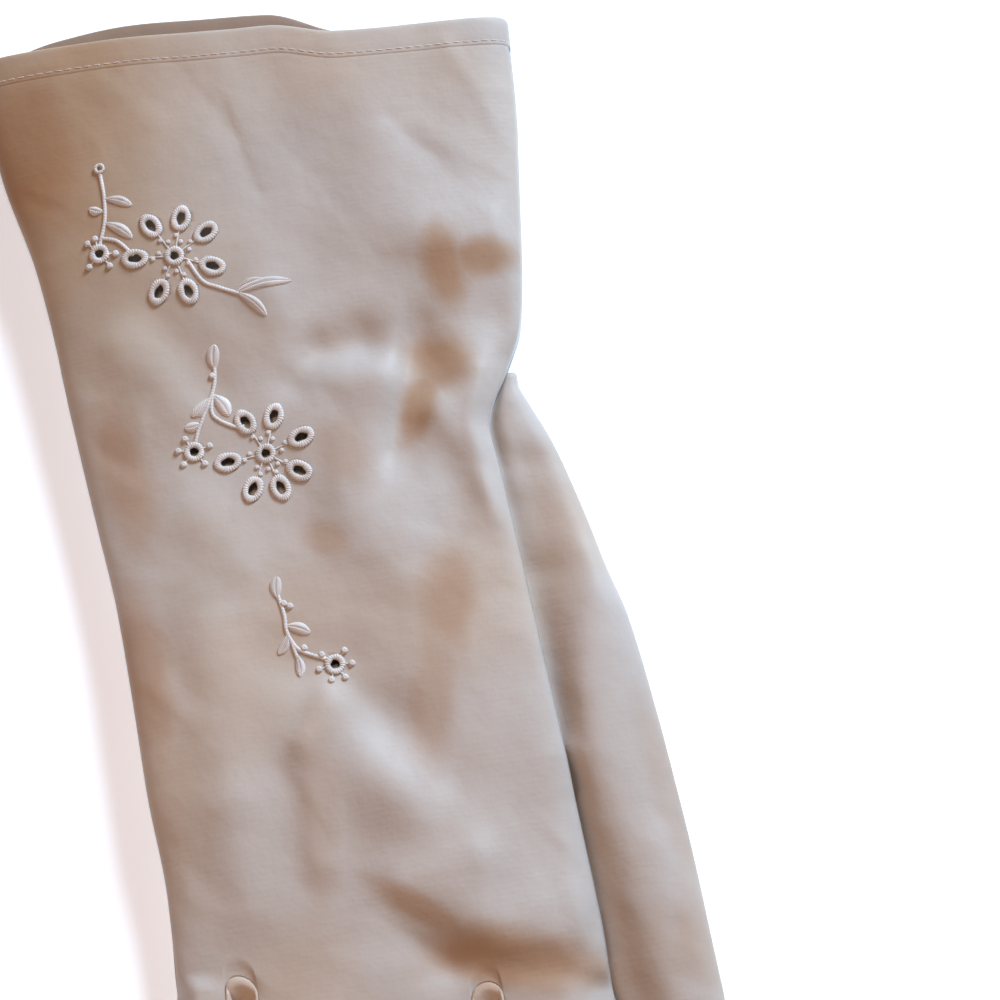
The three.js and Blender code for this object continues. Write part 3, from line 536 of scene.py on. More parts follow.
# Section of one finger at a share t of its length, 0 at the crotch and 1 at the tip
def finger_section(finger, t):
    left, right = track(BODY, "y", "left", 0), track(BODY, "y", "right", 0)
    root_left, root_right = mix(left, right, finger["start"]), mix(left, right, finger["end"])
    tip_gap = (1 - t) * (track(KNUCKLES, "across", "offset", finger["end"]) - finger["tip_y"])
    close = np.sqrt(1 - (1 - np.minimum(1, tip_gap / TIP_RADIUS)) ** 2)
    settled = smooth(t / FINGER_SETTLE)
    full = mix((root_right - root_left) / 2, finger["half"], settled)
    x = mix((root_left + root_right) / 2, finger["tip_x"], t)
    height = mix(track(BODY, "y", "height", 0), finger["height"], settled)
    seam = height * mix(SEAM_SHARE, FINGER_SEAM_SHARE, settled)
    roundness = mix(ROOT_ROUNDNESS, FINGER_ROUNDNESS, settled)
    return x, full * mix(TIP_WIDTH_SHARE, 1, close), height, seam, close, roundness


def finger_y(finger, share, t):
    start, end = row_y(0, finger["start"], 1), row_y(0, finger["end"], 1)
    return mix(mix(start, end, share), finger["tip_y"] + TIP_BULGE * (2 * share - 1) ** 2, t)


# How far the fourchette beside a finger reaches above or below the seam; an outer side has none
def fourchette_half(index, share, t, root):
    outer = (index == 0) & (share < 0.5) | (index == len(FINGERS) - 1) & (share > 0.5)
    taper = smooth((t - FOURCHETTE_TAPER) / (FOURCHETTE_END - FOURCHETTE_TAPER))
    half = mix(FOURCHETTE_HALF, FOURCHETTE_END_HALF, taper)
    half = mix(root, half, smooth(t / FOURCHETTE_ROOT))
    end = smooth((1 - t) / (1 - FOURCHETTE_END))
    return np.where(outer, 0, half * end)


# Points of a finger's back (side 1), palm (side -1) or fourchette (level given)
def finger_points(index, share, t, side, level=None):
    share, t = np.broadcast_arrays(np.asarray(share, float), np.asarray(t, float))
    finger = FINGERS[index]
    x_mid, half, height, seam, close, roundness = finger_section(finger, t)
    top_edge = fourchette_half(index, share, t, FOURCHETTE_ROOT_TOP)
    low_edge = fourchette_half(index, share, t, FOURCHETTE_ROOT_LOW)
    centred = 2 * share - 1
    reach = dome(top_edge / (height - seam), roundness)
    spread = centred * mix(1, reach, np.abs(centred) ** LANE_FLATNESS)
    y = finger_y(finger, share, t)
    if level is not None:
        bulge = mix(FOURCHETTE_BULGE, FOURCHETTE_END_BULGE, smooth(t / FOURCHETTE_ROOT))
        x = x_mid + half * spread + np.sign(centred) * (bulge * (1 - level * level))
        z = seam + mix(SEAM_GAP / 2 - low_edge, top_edge - SEAM_GAP / 2, (level + 1) / 2)
        return np.stack([x, y, z], axis=-1)
    arch = mix(1 - centred ** 2, dome(centred, FINGER_ROUNDNESS), smooth(t / FINGER_SETTLE))
    if side > 0:
        start = top_edge + SEAM_GAP / 2
        z = seam + start + np.maximum(0, height - seam - start) * close * arch
    else:
        start = low_edge + SEAM_GAP / 2
        z = seam - start - np.maximum(0, seam - start) * close * np.minimum(1, FLAT_SHARE * arch)
    return np.stack([x_mid + half * spread, y, z], axis=-1)


# Columns across the hand: lanes of the four fingers, with crotch columns between neighbours
def lane_columns(count):
    columns = []
    for index, finger in enumerate(FINGERS):
        for share in mix(crowded(count + 1), np.linspace(0, 1, count + 1), EDGE_EVENNESS):
            across = mix(finger["start"], finger["end"], share)
            columns.append(dict(index=index, share=share, across=across, crotch=False))
        if index < len(FINGERS) - 1:
            gap = FINGERS[index + 1]["start"] - finger["end"]
            for share in CROTCH_SHARES:
                across = finger["end"] + gap * share
                columns.append(dict(index=index, share=share, across=across, crotch=True))
    return columns


# Point at a share of the crotch arch between finger index and the next one
def crotch_points(index, share, side, level=None):
    before = finger_points(index, 1, 0, side, level)
    after = finger_points(index + 1, 0, 0, side, level)
    centred = 2 * share - 1
    web = 0 if level is None else CROTCH_WEB * (1 - level * level)
    rise = CROTCH_ROUND * dome(centred, CROTCH_ROUNDNESS) - web * dome(centred, WEB_ROUNDNESS)
    return mix(before, after, share) + np.array([0, rise, 0])


# Point of a column on the line where the fingers start
def root_point(column, side):
    if column["crotch"]:
        return crotch_points(column["index"], column["share"], side)
    return finger_points(column["index"], column["share"], 0, side)


# Grid of the back (side 1) or palm (side -1): the hand's rows, then the four finger strips
def panel_grid(side):
    columns = lane_columns(FINGER_COLUMNS[side])
    rows = np.arange(LENGTH - HEM_HEIGHT + HEM_OVERLAP, 0, -ROW_STEP[side])
    rows = np.append(rows, 0)
    across = np.array([column["across"] for column in columns])
    body = body_points(rows[:, None], across[None, :], side)
    base = body_points(0, across, 1)
    root = np.array([root_point(column, side) for column in columns])
    share = (1 - smooth(rows / CROTCH_BLEND))[:, None]
    share_z = (1 - smooth(rows / CROTCH_DIP))[:, None]
    hand = np.empty_like(body)
    hand[..., 0] = mix(body[..., 0], root[:, 0], share)
    hand[..., 1] = body[..., 1] + (root[:, 1] - base[:, 1]) * share
    if side > 0:
        moved = rows < CROTCH_BLEND
        from_knuckles = (hand[..., 1] - base[:, 1])[moved]
        body[moved, :, 2] = top_z(hand[moved, :, 0], hand[moved, :, 1], from_knuckles)
    hand[..., 2] = mix(body[..., 2], root[:, 2], share_z)
    under_hem = smooth((rows - LENGTH + HEM_HEIGHT) / HEM_OVERLAP)[:, None]
    hand[..., 2] -= side * HEM_SINK * under_hem
    count = FINGER_ROWS[side]
    steps = mix(crowded(count + 1), np.linspace(0, 1, count + 1), TIP_EVENNESS)[1:]
    fingers = np.empty((count, len(columns), 3))
    for c, column in enumerate(columns):
        fingers[:, c] = finger_points(column["index"], column["share"], steps, side)
    grid = np.concatenate([hand, fingers])
    crotch = np.array([column["crotch"] for column in columns])
    cells = np.ones((len(grid) - 1, len(columns) - 1), bool)
    cells[len(rows) - 1:] = ~(crotch[:-1] | crotch[1:])
    return grid, cells


# Cuts oval eyelets: cells whose middle lies inside go, and the corners along the cut
# move onto the oval
def cut_eyelets(grid, cells):
    middle = (grid[:-1, :-1] + grid[1:, :-1] + grid[:-1, 1:] + grid[1:, 1:]) / 4
    for x, y, angle, long, wide in eyelet_edges():
        gone = oval_reach(middle, x, y, angle, long, wide) < 1
        touched = np.zeros(grid.shape[:2], bool)
        for r, c in ((0, 0), (1, 0), (0, 1), (1, 1)):
            touched[r:gone.shape[0] + r, c:gone.shape[1] + c] |= gone
        reach = oval_reach(grid, x, y, angle, long, wide)
        scale = np.where(touched, 1 / np.maximum(reach, EYELET_PULL_LIMIT), 1)
        grid[..., 0] = x + (grid[..., 0] - x) * scale
        grid[..., 1] = y + (grid[..., 1] - y) * scale
        cells &= ~gone
    return grid, cells


# Distance from an oval's middle, 1 on its edge
def oval_reach(points, x, y, angle, long, wide):
    dx, dy = points[..., 0] - x, points[..., 1] - y
    along = (dx * math.cos(angle) + dy * math.sin(angle)) / long
    aside = (dy * math.cos(angle) - dx * math.sin(angle)) / wide
    return np.hypot(along, aside)


# Places, directions and half sizes of the cut edges, under the middle of each rim
def eyelet_edges():
    edges = []
    for flower in FLOWERS:
        middle = (CENTRE["hole"] + CENTRE["rim"]) / 2
        edges.append((flower["x"], flower["y"], 0, middle, middle))
        if flower["kind"] == "petal":
            for turn in flower["turns"]:
                x, y, angle = around(flower, turn, flower["reach"])
                long = (PETAL["hole_long"] + PETAL["rim_long"]) / 2
                wide = (PETAL["hole_wide"] + PETAL["rim_wide"]) / 2
                edges.append((x, y, angle, long, wide))
    return edges


def around(flower, degrees, reach):
    angle = math.radians(degrees)
    return flower["x"] + reach * math.cos(angle), flower["y"] + reach * math.sin(angle), angle


# Height of the back's upper side at (x, y), in a row that is y where none is given
def top_z(x, y, row=None):
    x, y = np.broadcast_arrays(np.asarray(x, float), np.asarray(y, float))
    left, right = track(BODY, "y", "left", y), track(BODY, "y", "right", y)
    height = track(BODY, "y", "height", y)
    across = (x - left) / (right - left)
    seam = SEAM_SHARE * height
    rise = relief(x, y, across, y if row is None else row)
    return seam + (height - seam) * dome(2 * across - 1, TOP_ROUNDNESS) + rise


# Mesh object from vertices in table millimetres
def add_mesh(name, vertices, faces, material, node=None):
    mesh = bpy.data.meshes.new(name)
    placed = (np.asarray(vertices, float) - np.array([ORIGIN[0], ORIGIN[1], 0])) * MM
    mesh.from_pydata(placed.tolist(), [], faces)
    mesh.validate()
    for polygon in mesh.polygons:
        polygon.use_smooth = True
    piece = bpy.data.objects.new(name, mesh)
    bpy.context.collection.objects.link(piece)
    piece.data.materials.append(material)
    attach(piece, "root")
    if node:
        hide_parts(*([node] if isinstance(node, str) else node))
    return piece


# Faces of a grid: only the cells that exist, with unused corners dropped
def grid_mesh(name, grid, cells, material, node, wrap=False, flip=False, thickness=CLOTH):
    count = grid.shape[1]
    r, c = np.nonzero(cells)
    nxt = (c + 1) % count if wrap else c + 1
    quads = np.stack([r * count + c, (r + 1) * count + c, (r + 1) * count + nxt, r * count + nxt], axis=1)
    if flip:
        quads = quads[:, ::-1]
    used, compact = np.unique(quads, return_inverse=True)
    faces = compact.reshape(quads.shape).tolist()
    piece = add_mesh(name, grid.reshape(-1, 3)[used], faces, material, node)
    if thickness:
        solid = piece.modifiers.new("cloth", "SOLIDIFY")
        solid.thickness = thickness * MM
        solid.offset = -1
    return piece


# Point at a share of a smooth closed or open run through the points of each row
def smooth_run(points, steps, closed):
    count = points.shape[1]
    if closed:
        padded = np.concatenate([points[:, -1:], points, points[:, :2]], axis=1)
        spans = count
    else:
        before = 2 * points[:, :1] - points[:, 1:2]
        after = 2 * points[:, -1:] - points[:, -2:-1]
        padded = np.concatenate([before, points, after], axis=1)
        spans = count - 1
    t = (np.arange(steps) / steps)[None, :, None]
    parts = []
    for k in range(spans):
        a, b, c, d = (padded[:, k + j][:, None] for j in range(4))
        bend = (c - a) * t + (2 * a - 5 * b + 4 * c - d) * t ** 2 + (3 * b - a - 3 * c + d) * t ** 3
        parts.append(b + bend / 2)
    if not closed:
        parts.append(points[:, -1:])
    return np.concatenate(parts, axis=1)


# Control points of the thumb's tube at each y; its inner wall leans under the hand's edge
def tube_control(y):
    profile = np.array([(place["across"], place["up"], place["lean"]) for place in THUMB_PROFILE])
    inner, outer = track(THUMB, "y", "inner", y), track(THUMB, "y", "outer", y)
    height = track(THUMB, "y", "height", y)
    close = np.sqrt(1 - (1 - np.minimum(1, (y - THUMB_TIP[1]) / THUMB_ROUND)) ** 2)[:, None]
    lean = np.clip(inner - track(BODY, "y", "right", y) - THUMB_CLEAR, 0, THUMB_LEAN)
    x = mix(inner[:, None], outer[:, None], profile[:, 0]) - lean[:, None] * profile[:, 2]
    control = np.empty((len(y), len(profile), 2))
    control[..., 0] = mix(THUMB_TIP[0], x, close)
    control[..., 1] = mix(THUMB_TIP[2], height[:, None] * profile[:, 1], np.sqrt(close))
    return control


# Control points of the open gusset, from under the hand's edge to the palm's edge
def gusset_control(rows):
    profile = np.array([(place["across"], place["up"]) for place in THUMB_PROFILE])
    lap = body_points(rows, 1, 1)
    palm = body_points(rows, 1, -1)
    y = lap[:, 1]
    outer, height = track(THUMB, "y", "outer", y), track(THUMB, "y", "height", y)
    under = lap[:, 2] - LAP_GAP
    control = np.empty((len(rows), len(profile), 2))
    control[..., 0] = mix((lap[:, 0] - LAP_UNDER)[:, None], outer[:, None], profile[:, 0])
    control[..., 1] = height[:, None] * profile[:, 1]
    control[:, 0, 1] = under
    control[:, 1, 1] = np.minimum(under, control[:, 1, 1] + LAP_FULLNESS)
    joined = smooth((THUMB_JOIN - y) / (THUMB_JOIN - THUMB_TUBE_START))[:, None, None]
    control = mix(control, tube_control(y), joined)
    control[:, -1] = palm[:, [0, 2]]
    return y, control


# Thumb: an open gusset tucked under the hand's edge, then a closed tube to the tip
def thumb_grid():
    rows = np.arange(GUSSET_POINT, THUMB_TUBE_START, -THUMB_STEP)
    y, control = gusset_control(rows)
    gusset = smooth_run(control, THUMB_SUBDIVISION, False)
    count = len(THUMB_PROFILE) * THUMB_SUBDIVISION
    spare = np.repeat(gusset[:, -1:], count - gusset.shape[1], axis=1)
    gusset = np.concatenate([gusset, spare], axis=1)
    reach = THUMB_TUBE_START - THUMB_TIP[1]
    tube_y = y[-1] - THUMB_STEP - (reach - THUMB_STEP) * np.sin(np.linspace(0, math.pi / 2, THUMB_ROWS))
    tube_y = np.maximum(tube_y, THUMB_TIP[1])
    tube = smooth_run(tube_control(tube_y), THUMB_SUBDIVISION, True)
    section = np.concatenate([gusset, tube])
    along = np.concatenate([y, tube_y])[:, None] * np.ones(count)
    grid = np.stack([section[..., 0], along, section[..., 1]], axis=-1)
    up = smooth(grid[..., 2] / grid[..., 2].max() * 2 - 2 * THUMB_FOLD_START)
    rise = fold_rise(THUMB_FOLDS, grid[..., 0], along) + fold_rise(CREASES, grid[..., 0], along)
    grid[..., 2] += rise * up
    grid[..., 2] = np.maximum(grid[..., 2], 0)
    cells = np.ones((len(grid) - 1, count), bool)
    cells[:len(rows), (len(THUMB_PROFILE) - 1) * THUMB_SUBDIVISION:] = False
    return grid, cells


# Ribbon down one finger's side, round the crotch and up the next finger's side
def fourchette_grid(index):
    levels = np.linspace(1, -1, FOURCHETTE_COLUMNS)
    steps = np.linspace(FOURCHETTE_END, 0, FOURCHETTE_ROWS)
    columns = []
    for level in levels:
        down = finger_points(index, 1, steps, 1, level)
        arch = np.array([crotch_points(index, share, 1, level) for share in CROTCH_SHARES])
        up = finger_points(index + 1, 0, steps[::-1], 1, level)
        columns.append(np.concatenate([down, arch, up]))
    grid = np.stack(columns, axis=1)
    return grid, np.ones((grid.shape[0] - 1, grid.shape[1] - 1), bool)


# Folded band round the opening: outer layer, rolled edge and inner layer
def hem_grid():
    across = crowded(HEM_COLUMNS + 1)
    ends = dict(low=LENGTH - HEM_HEIGHT, high=LENGTH)
    grid = []
    for end, offset, inset in HEM_SECTION:
        row = ends[end] + offset
        top = body_points(row, across[:-1], 1, inset, 0)
        bottom = body_points(row, across[:0:-1], -1, inset, 0)
        grid.append(np.concatenate([top, bottom]))
    grid.append(grid[0])
    grid = np.array(grid)
    return grid, np.ones((len(grid) - 1, grid.shape[1]), bool)


# Tube along a line of points with an oval section, closed at both ends
def tube(line, radius, flat, sides):
    ahead = np.roll(line, -1, axis=0) - np.roll(line, 1, axis=0)
    ahead[0], ahead[-1] = line[1] - line[0], line[-1] - line[-2]
    ahead /= np.linalg.norm(ahead, axis=1, keepdims=True)
    aside = np.cross(ahead, (0, 0, 1))
    aside /= np.linalg.norm(aside, axis=1, keepdims=True)
    above = np.cross(aside, ahead)
    radius = np.broadcast_to(radius, len(line))[:, None, None]
    turn = np.linspace(0, 2 * math.pi, sides, endpoint=False)
    ring = np.cos(turn)[None, :, None] * aside[:, None] + flat * np.sin(turn)[None, :, None] * above[:, None]
    vertices = (line[:, None] + radius * ring).reshape(-1, 3)
    faces = []
    for r in range(len(line) - 1):
        a, b = r * sides, (r + 1) * sides
        faces += [(a + k, a + (k + 1) % sides, b + (k + 1) % sides, b + k) for k in range(sides)]
    faces += [tuple(range(sides - 1, -1, -1)), tuple(range(len(vertices) - sides, len(vertices)))]
    return vertices, faces


# Small dome of wound thread
def knot(x, y, radius, height):
    vertices, faces = [], []
    base = float(top_z(x, y))
    for r in range(KNOT_RINGS):
        polar = math.pi / 2 * r / (KNOT_RINGS - 1)
        for k in range(KNOT_SIDES):
            turn = 2 * math.pi * k / KNOT_SIDES
            swell = 1 + KNOT_SWELL * math.cos(KNOT_WRAPS * turn + KNOT_SPIRAL * polar)
            out = radius * math.cos(polar) * swell
            from_top = (math.pi / 2 - polar) * KNOT_DIMPLE_SHARPNESS
            dimple = 1 - KNOT_DIMPLE * math.exp(-from_top ** 2)
            rise = height * math.sin(polar) * dimple
            vertices.append((x + out * math.cos(turn), y + out * math.sin(turn), base + rise - KNOT_SINK))
    for r in range(KNOT_RINGS - 1):
        a, b = r * KNOT_SIDES, (r + 1) * KNOT_SIDES
        for k in range(KNOT_SIDES):
            nxt = (k + 1) % KNOT_SIDES
            faces.append((a + k, a + nxt, b + nxt, b + k))
    faces.append(tuple(range(KNOT_SIDES - 1, -1, -1)))
    return vertices, faces


# Satin stitched ring: ridges of thread wound over the rim of an eyelet
def satin_ring(x, y, angle, hole_long, hole_wide, rim_long, rim_wide):
    perimeter = math.pi * (hole_long + rim_long + hole_wide + rim_wide) / 2
    wraps = round(perimeter / STITCH_STEP)
    around_steps, sides = wraps * STEPS_A_STITCH, RIM_SIDES
    turn = np.linspace(0, 2 * math.pi, around_steps, endpoint=False)
    (slow, slow_waves), (quick, quick_waves) = RIM_WOBBLE
    wobble = slow * np.cos(slow_waves * turn + x) + quick * np.cos(quick_waves * turn + y)
    ridge = 1 + STITCH_RIDGE * np.cos(wraps * turn) + wobble
    long, wide = (hole_long + rim_long) / 2, (hole_wide + rim_wide) / 2
    half_long, half_wide = (rim_long - hole_long) / 2, (rim_wide - hole_wide) / 2
    section = np.linspace(0, 2 * math.pi, sides, endpoint=False)
    out = np.cos(section)[None, :]
    lift = np.sin(section)[None, :]
    along = (long + half_long * ridge[:, None] * out) * np.cos(turn)[:, None]
    aside = (wide + half_wide * ridge[:, None] * out) * np.sin(turn)[:, None]
    px = x + along * math.cos(angle) - aside * math.sin(angle)
    py = y + along * math.sin(angle) + aside * math.cos(angle)
    pz = top_z(px, py) + LIFT + RIM_HEIGHT * (lift * ridge[:, None] * RIM_RISE + RIM_SEAT)
    vertices = np.stack([px, py, pz], axis=-1).reshape(-1, 3)
    faces = []
    for r in range(around_steps):
        a, b = r * sides, (r + 1) % around_steps * sides
        faces += [(a + k, b + k, b + (k + 1) % sides, a + (k + 1) % sides) for k in range(sides)]
    return vertices, faces


def round_ring(x, y, size):
    return satin_ring(x, y, 0, size["hole"], size["hole"], size["rim"], size["rim"])


# Leaf of slanted satin stitches, from the stem (x1, y1) to the tip (x2, y2)
def leaf(x1, y1, x2, y2, width):
    length = math.hypot(x2 - x1, y2 - y1)
    ux, uy = (x2 - x1) / length, (y2 - y1) / length
    rows, columns = max(LEAF_ROWS, round(length / LEAF_ROW_STEP)), LEAF_COLUMNS
    s = np.linspace(0, 1, rows)[:, None]
    v = np.linspace(-1, 1, columns)[None, :]
    half = LEAF_FULLNESS * width * np.sin(math.pi * s ** LEAF_FORWARD) ** LEAF_BLUNTNESS + LEAF_LEAST
    bow = LEAF_BOW * length * np.sin(math.pi * s)
    phase = (s * length + np.abs(v) * half * LEAF_SLANT) * 2 * math.pi / STITCH_STEP
    groove = 1 - LEAF_GROOVE * np.exp(-((v / LEAF_GROOVE_WIDTH) ** 2))
    crown = np.sqrt(np.maximum(0, 1 - v * v)) * groove
    ends = LEAF_END + (1 - LEAF_END) * np.sqrt(np.sin(math.pi * s))
    rise = LEAF_HEIGHT * crown * ends * (1 + LEAF_RIDGE * np.cos(phase))
    off = v * half * (1 + LEAF_EDGE_RIDGE * np.cos(phase)) + bow
    px = x1 + ux * s * length - uy * off
    py = y1 + uy * s * length + ux * off
    pz = top_z(px, py) + rise - LEAF_SINK
    vertices = np.stack([px, py, pz], axis=-1).reshape(-1, 3)
    faces = [
        (r * columns + c, r * columns + c + 1, (r + 1) * columns + c + 1, (r + 1) * columns + c)
        for r in range(rows - 1) for c in range(columns - 1)
    ]
    return vertices, faces


# Rope-like line of thread over the cloth along a run of points
def stem(points, width):
    points = np.array(points, float)
    if len(points) > 2:
        smooth_line = smooth_run(points[None], STEM_SUBDIVISION, False)[0]
    else:
        smooth_line = mix(points[0], points[1], np.linspace(0, 1, STEM_SUBDIVISION + 1)[:, None])
    gaps = np.hypot(*np.diff(smooth_line, axis=0).T)
    travelled = np.concatenate([[0], np.cumsum(gaps)])
    at = np.linspace(0, travelled[-1], max(STEM_POINTS, round(travelled[-1] / STEM_STEP)))
    x, y = np.interp(at, travelled, smooth_line[:, 0]), np.interp(at, travelled, smooth_line[:, 1])
    twist = 1 + STEM_TWIST * np.cos(at * 2 * math.pi / STEM_PITCH)
    line = np.stack([x, y, top_z(x, y) + STEM_LIFT], axis=-1)
    return tube(line, width / 2 * twist, STEM_FLATNESS, STEM_SIDES)


# Straight stitches of thread, each a short arc over the cloth
def stitch_row(ends, radius, rise):
    for start, end in ends:
        t = np.linspace(0, 1, STITCH_POINTS)[:, None]
        line = mix(start, end, t)
        line[:, 2] += rise * np.sin(math.pi * t[:, 0])
        yield tube(line, radius, STITCH_FLATNESS, STITCH_SIDES)


# Parts joined into one mesh's vertices and faces
def gathered(parts):
    vertices, faces = [], []
    for part_vertices, part_faces in parts:
        shift = len(vertices)
        vertices.extend(np.asarray(part_vertices).tolist())
        faces.extend(tuple(shift + k for k in face) for face in part_faces)
    return vertices, faces


# Rings, knots and stalks of one flower
def flower_parts(flower):
    yield round_ring(flower["x"], flower["y"], CENTRE)
    for turn in flower["turns"]:
        end_x, end_y, angle = around(flower, turn, flower["reach"])
        start = around(flower, turn, (CENTRE["hole"] + CENTRE["rim"]) / 2)[:2]
        if flower["kind"] == "petal":
            ring = (PETAL["hole_long"], PETAL["hole_wide"], PETAL["rim_long"], PETAL["rim_wide"])
            yield satin_ring(end_x, end_y, angle, *ring)
            reach = flower["reach"] - (PETAL["rim_long"] + PETAL["hole_long"]) / 2
            yield stem([start, around(flower, turn, reach)[:2]], STALK_WIDTH)
            for dot_reach, dot_turn in DOTS:
                dot_x, dot_y, _ = around(flower, turn + dot_turn, dot_reach)
                yield knot(dot_x, dot_y, DOT_RADIUS, DOT_HEIGHT)
        else:
            yield knot(end_x, end_y, KNOT_RADIUS, KNOT_HEIGHT)
            yield stem([start, (end_x, end_y)], STALK_WIDTH)


# Every part of one spray
def spray_parts(name):
    flowers, leaves, stems, knots, buds = (
        [row for row in rows if row["spray"] == name] for rows in (FLOWERS, LEAVES, STEMS, KNOTS, BUDS)
    )
    for row in flowers:
        yield from flower_parts(row)
    for row in leaves:
        yield leaf(row["x1"], row["y1"], row["x2"], row["y2"], row["width"])
    for row in stems:
        yield stem(row["points"], STEM_WIDTH)
    for row in knots:
        yield knot(row["x"], row["y"], KNOT_RADIUS, KNOT_HEIGHT)
    for row in buds:
        yield round_ring(row["x"], row["y"], row)


# Node material with a shader, its object coordinates and short helpers
class Finish:
    def __init__(self, name, roughness, sheen):
        self.material = bpy.data.materials.new(name)
        self.material.use_nodes = True
        self.nodes = self.material.node_tree.nodes
        self.links = self.material.node_tree.links
        self.shader = self.nodes["Principled BSDF"]
        self.shader.inputs["Roughness"].default_value = roughness
        self.shader.inputs["Sheen Weight"].default_value = sheen
        self.shader.inputs["Sheen Roughness"].default_value = SHEEN_ROUGHNESS
        self.shader.inputs["Specular IOR Level"].default_value = SPECULAR_LEVEL
        self.place = self.nodes.new("ShaderNodeTexCoord").outputs["Object"]

    def stretched(self, scale):
        mapping = self.nodes.new("ShaderNodeMapping")
        mapping.inputs["Scale"].default_value = scale
        self.links.new(self.place, mapping.inputs["Vector"])
        return mapping.outputs["Vector"]

    def noise(self, scale, detail=3, vector=None):
        node = self.nodes.new("ShaderNodeTexNoise")
        node.inputs["Scale"].default_value = scale
        node.inputs["Detail"].default_value = detail
        self.links.new(vector or self.place, node.inputs["Vector"])
        return node.outputs["Fac"]

    def bands(self, pitch, distortion):
        node = self.nodes.new("ShaderNodeTexWave")
        node.bands_direction = "Y"
        node.inputs["Scale"].default_value = math.pi / (10 * pitch)
        node.inputs["Distortion"].default_value = distortion
        node.inputs["Detail"].default_value = 2
        node.inputs["Detail Scale"].default_value = 1.5
        self.links.new(self.place, node.inputs["Vector"])
        return node.outputs["Fac"]

    def ramp(self, factor, stops, colours):
        node = self.nodes.new("ShaderNodeValToRGB")
        ramp = node.color_ramp
        while len(ramp.elements) < len(stops):
            ramp.elements.new(0.5)
        for element, at, colour in zip(ramp.elements, stops, colours):
            element.position = at
            element.color = (*colour, 1)
        self.links.new(factor, node.inputs["Fac"])
        return node.outputs["Color"]

    def blend(self, a, b, factor, kind="MIX"):
        node = self.nodes.new("ShaderNodeMix")
        node.data_type = "RGBA"
        node.blend_type = kind
        for socket, value in ((node.inputs[0], factor), (node.inputs[6], a), (node.inputs[7], b)):
            if isinstance(value, bpy.types.NodeSocket):
                self.links.new(value, socket)
            else:
                socket.default_value = value
        return node.outputs[2]

    def between(self, factor, low, high):
        node = self.nodes.new("ShaderNodeMapRange")
        node.inputs["To Min"].default_value = low
        node.inputs["To Max"].default_value = high
        self.links.new(factor, node.inputs["Value"])
        return node.outputs["Result"]

    # 0 at the start value and full strength at the end value, smooth in between
    def fade(self, value, start, end, strength=1):
        node = self.nodes.new("ShaderNodeMapRange")
        node.interpolation_type = "SMOOTHSTEP"
        node.inputs["From Min"].default_value = start
        node.inputs["From Max"].default_value = end
        node.inputs["To Max"].default_value = strength
        self.links.new(value, node.inputs["Value"])
        return node.outputs["Result"]

    def along(self, axis, start, end):
        split = self.nodes.new("ShaderNodeSeparateXYZ")
        self.links.new(self.place, split.inputs[0])
        return self.fade(split.outputs[axis], start, end)

    def tinted(self, colour, tint, share):
        return self.blend(colour, self.blend(colour, tint, 1.0, "MULTIPLY"), share)

    def combined(self, a, b, operation):
        node = self.nodes.new("ShaderNodeMath")
        node.operation = operation
        self.links.new(a, node.inputs[0])
        self.links.new(b, node.inputs[1])
        return node.outputs["Value"]

    # Strength of a soft oval patch, with its reach varied by a noise
    def patch(self, place, noise):
        mapping = self.nodes.new("ShaderNodeMapping")
        mapping.vector_type = "TEXTURE"
        middle = ((place["x"] - ORIGIN[0]) * MM, (place["y"] - ORIGIN[1]) * MM, 0)
        mapping.inputs["Location"].default_value = middle
        mapping.inputs["Rotation"].default_value = (0, 0, math.radians(place["turn"]))
        mapping.inputs["Scale"].default_value = (place["long"] * MM, place["wide"] * MM, PATCH_HEIGHT * MM)
        self.links.new(self.place, mapping.inputs["Vector"])
        length = self.nodes.new("ShaderNodeVectorMath")
        length.operation = "LENGTH"
        self.links.new(mapping.outputs["Vector"], length.inputs[0])
        reach = self.combined(length.outputs["Value"], noise, "MULTIPLY")
        return self.fade(reach, *PATCH_FADE, place["share"])

    def bump(self, height, strength, distance, before=None):
        node = self.nodes.new("ShaderNodeBump")
        node.inputs["Strength"].default_value = strength
        node.inputs["Distance"].default_value = distance
        self.links.new(height, node.inputs["Height"])
        if before:
            self.links.new(before, node.inputs["Normal"])
        return node.outputs["Normal"]

    def end(self, colour, normal, roughness=None):
        self.links.new(colour, self.shader.inputs["Base Color"])
        self.links.new(normal, self.shader.inputs["Normal"])
        if roughness:
            self.links.new(roughness, self.shader.inputs["Roughness"])
        return self.material


# Cloth and thread tones, their roughness, and its spread over the surface
CLOTH_LIGHT = (0.385, 0.347, 0.322)
CLOTH_WARM = (0.39, 0.32, 0.265)
# Lighter, warmer tones of the same cloth for the fourchettes: painted light in the shaded crotches
FOURCHETTE_PAINTED_LIGHT = (0.45, 0.37, 0.31)
FOURCHETTE_PAINTED_WARM = (0.44, 0.35, 0.28)
MOTTLE_TINT = (0.9, 0.885, 0.87)
THREAD_DARK = (0.42, 0.39, 0.37)
THREAD_LIGHT = (0.54, 0.51, 0.50)
CLOTH_DULLNESS = 0.6
THREAD_DULLNESS = 0.4
CLOTH_ROUGHNESS = (0.52, 0.68)
THREAD_ROUGHNESS = (0.32, 0.5)
SHEEN = 0.2
SHEEN_ROUGHNESS = 0.4
SPECULAR_LEVEL = 0.3

# Noise sizes and details, the ribs' pitch in metres and their waver
BROAD = (16, 2)
MOTTLE = (70, 4)
PATCH_EDGE = (90, 4)
WRINKLE = (150, 5)
GRAIN = (1500, 2)
GRAIN_STRETCH = (1, 0.35, 1)
RIBS = (0.0011, 2.5)
THREAD_MOTTLE = (220, 3)
FIBRE = (3200, 2)

# Where the tones stand on each noise's range
BROAD_STOPS = (0.36, 0.52, 0.7)
MOTTLE_STOPS = (0.3, 0.7)
THREAD_STOPS = (0.3, 0.65)

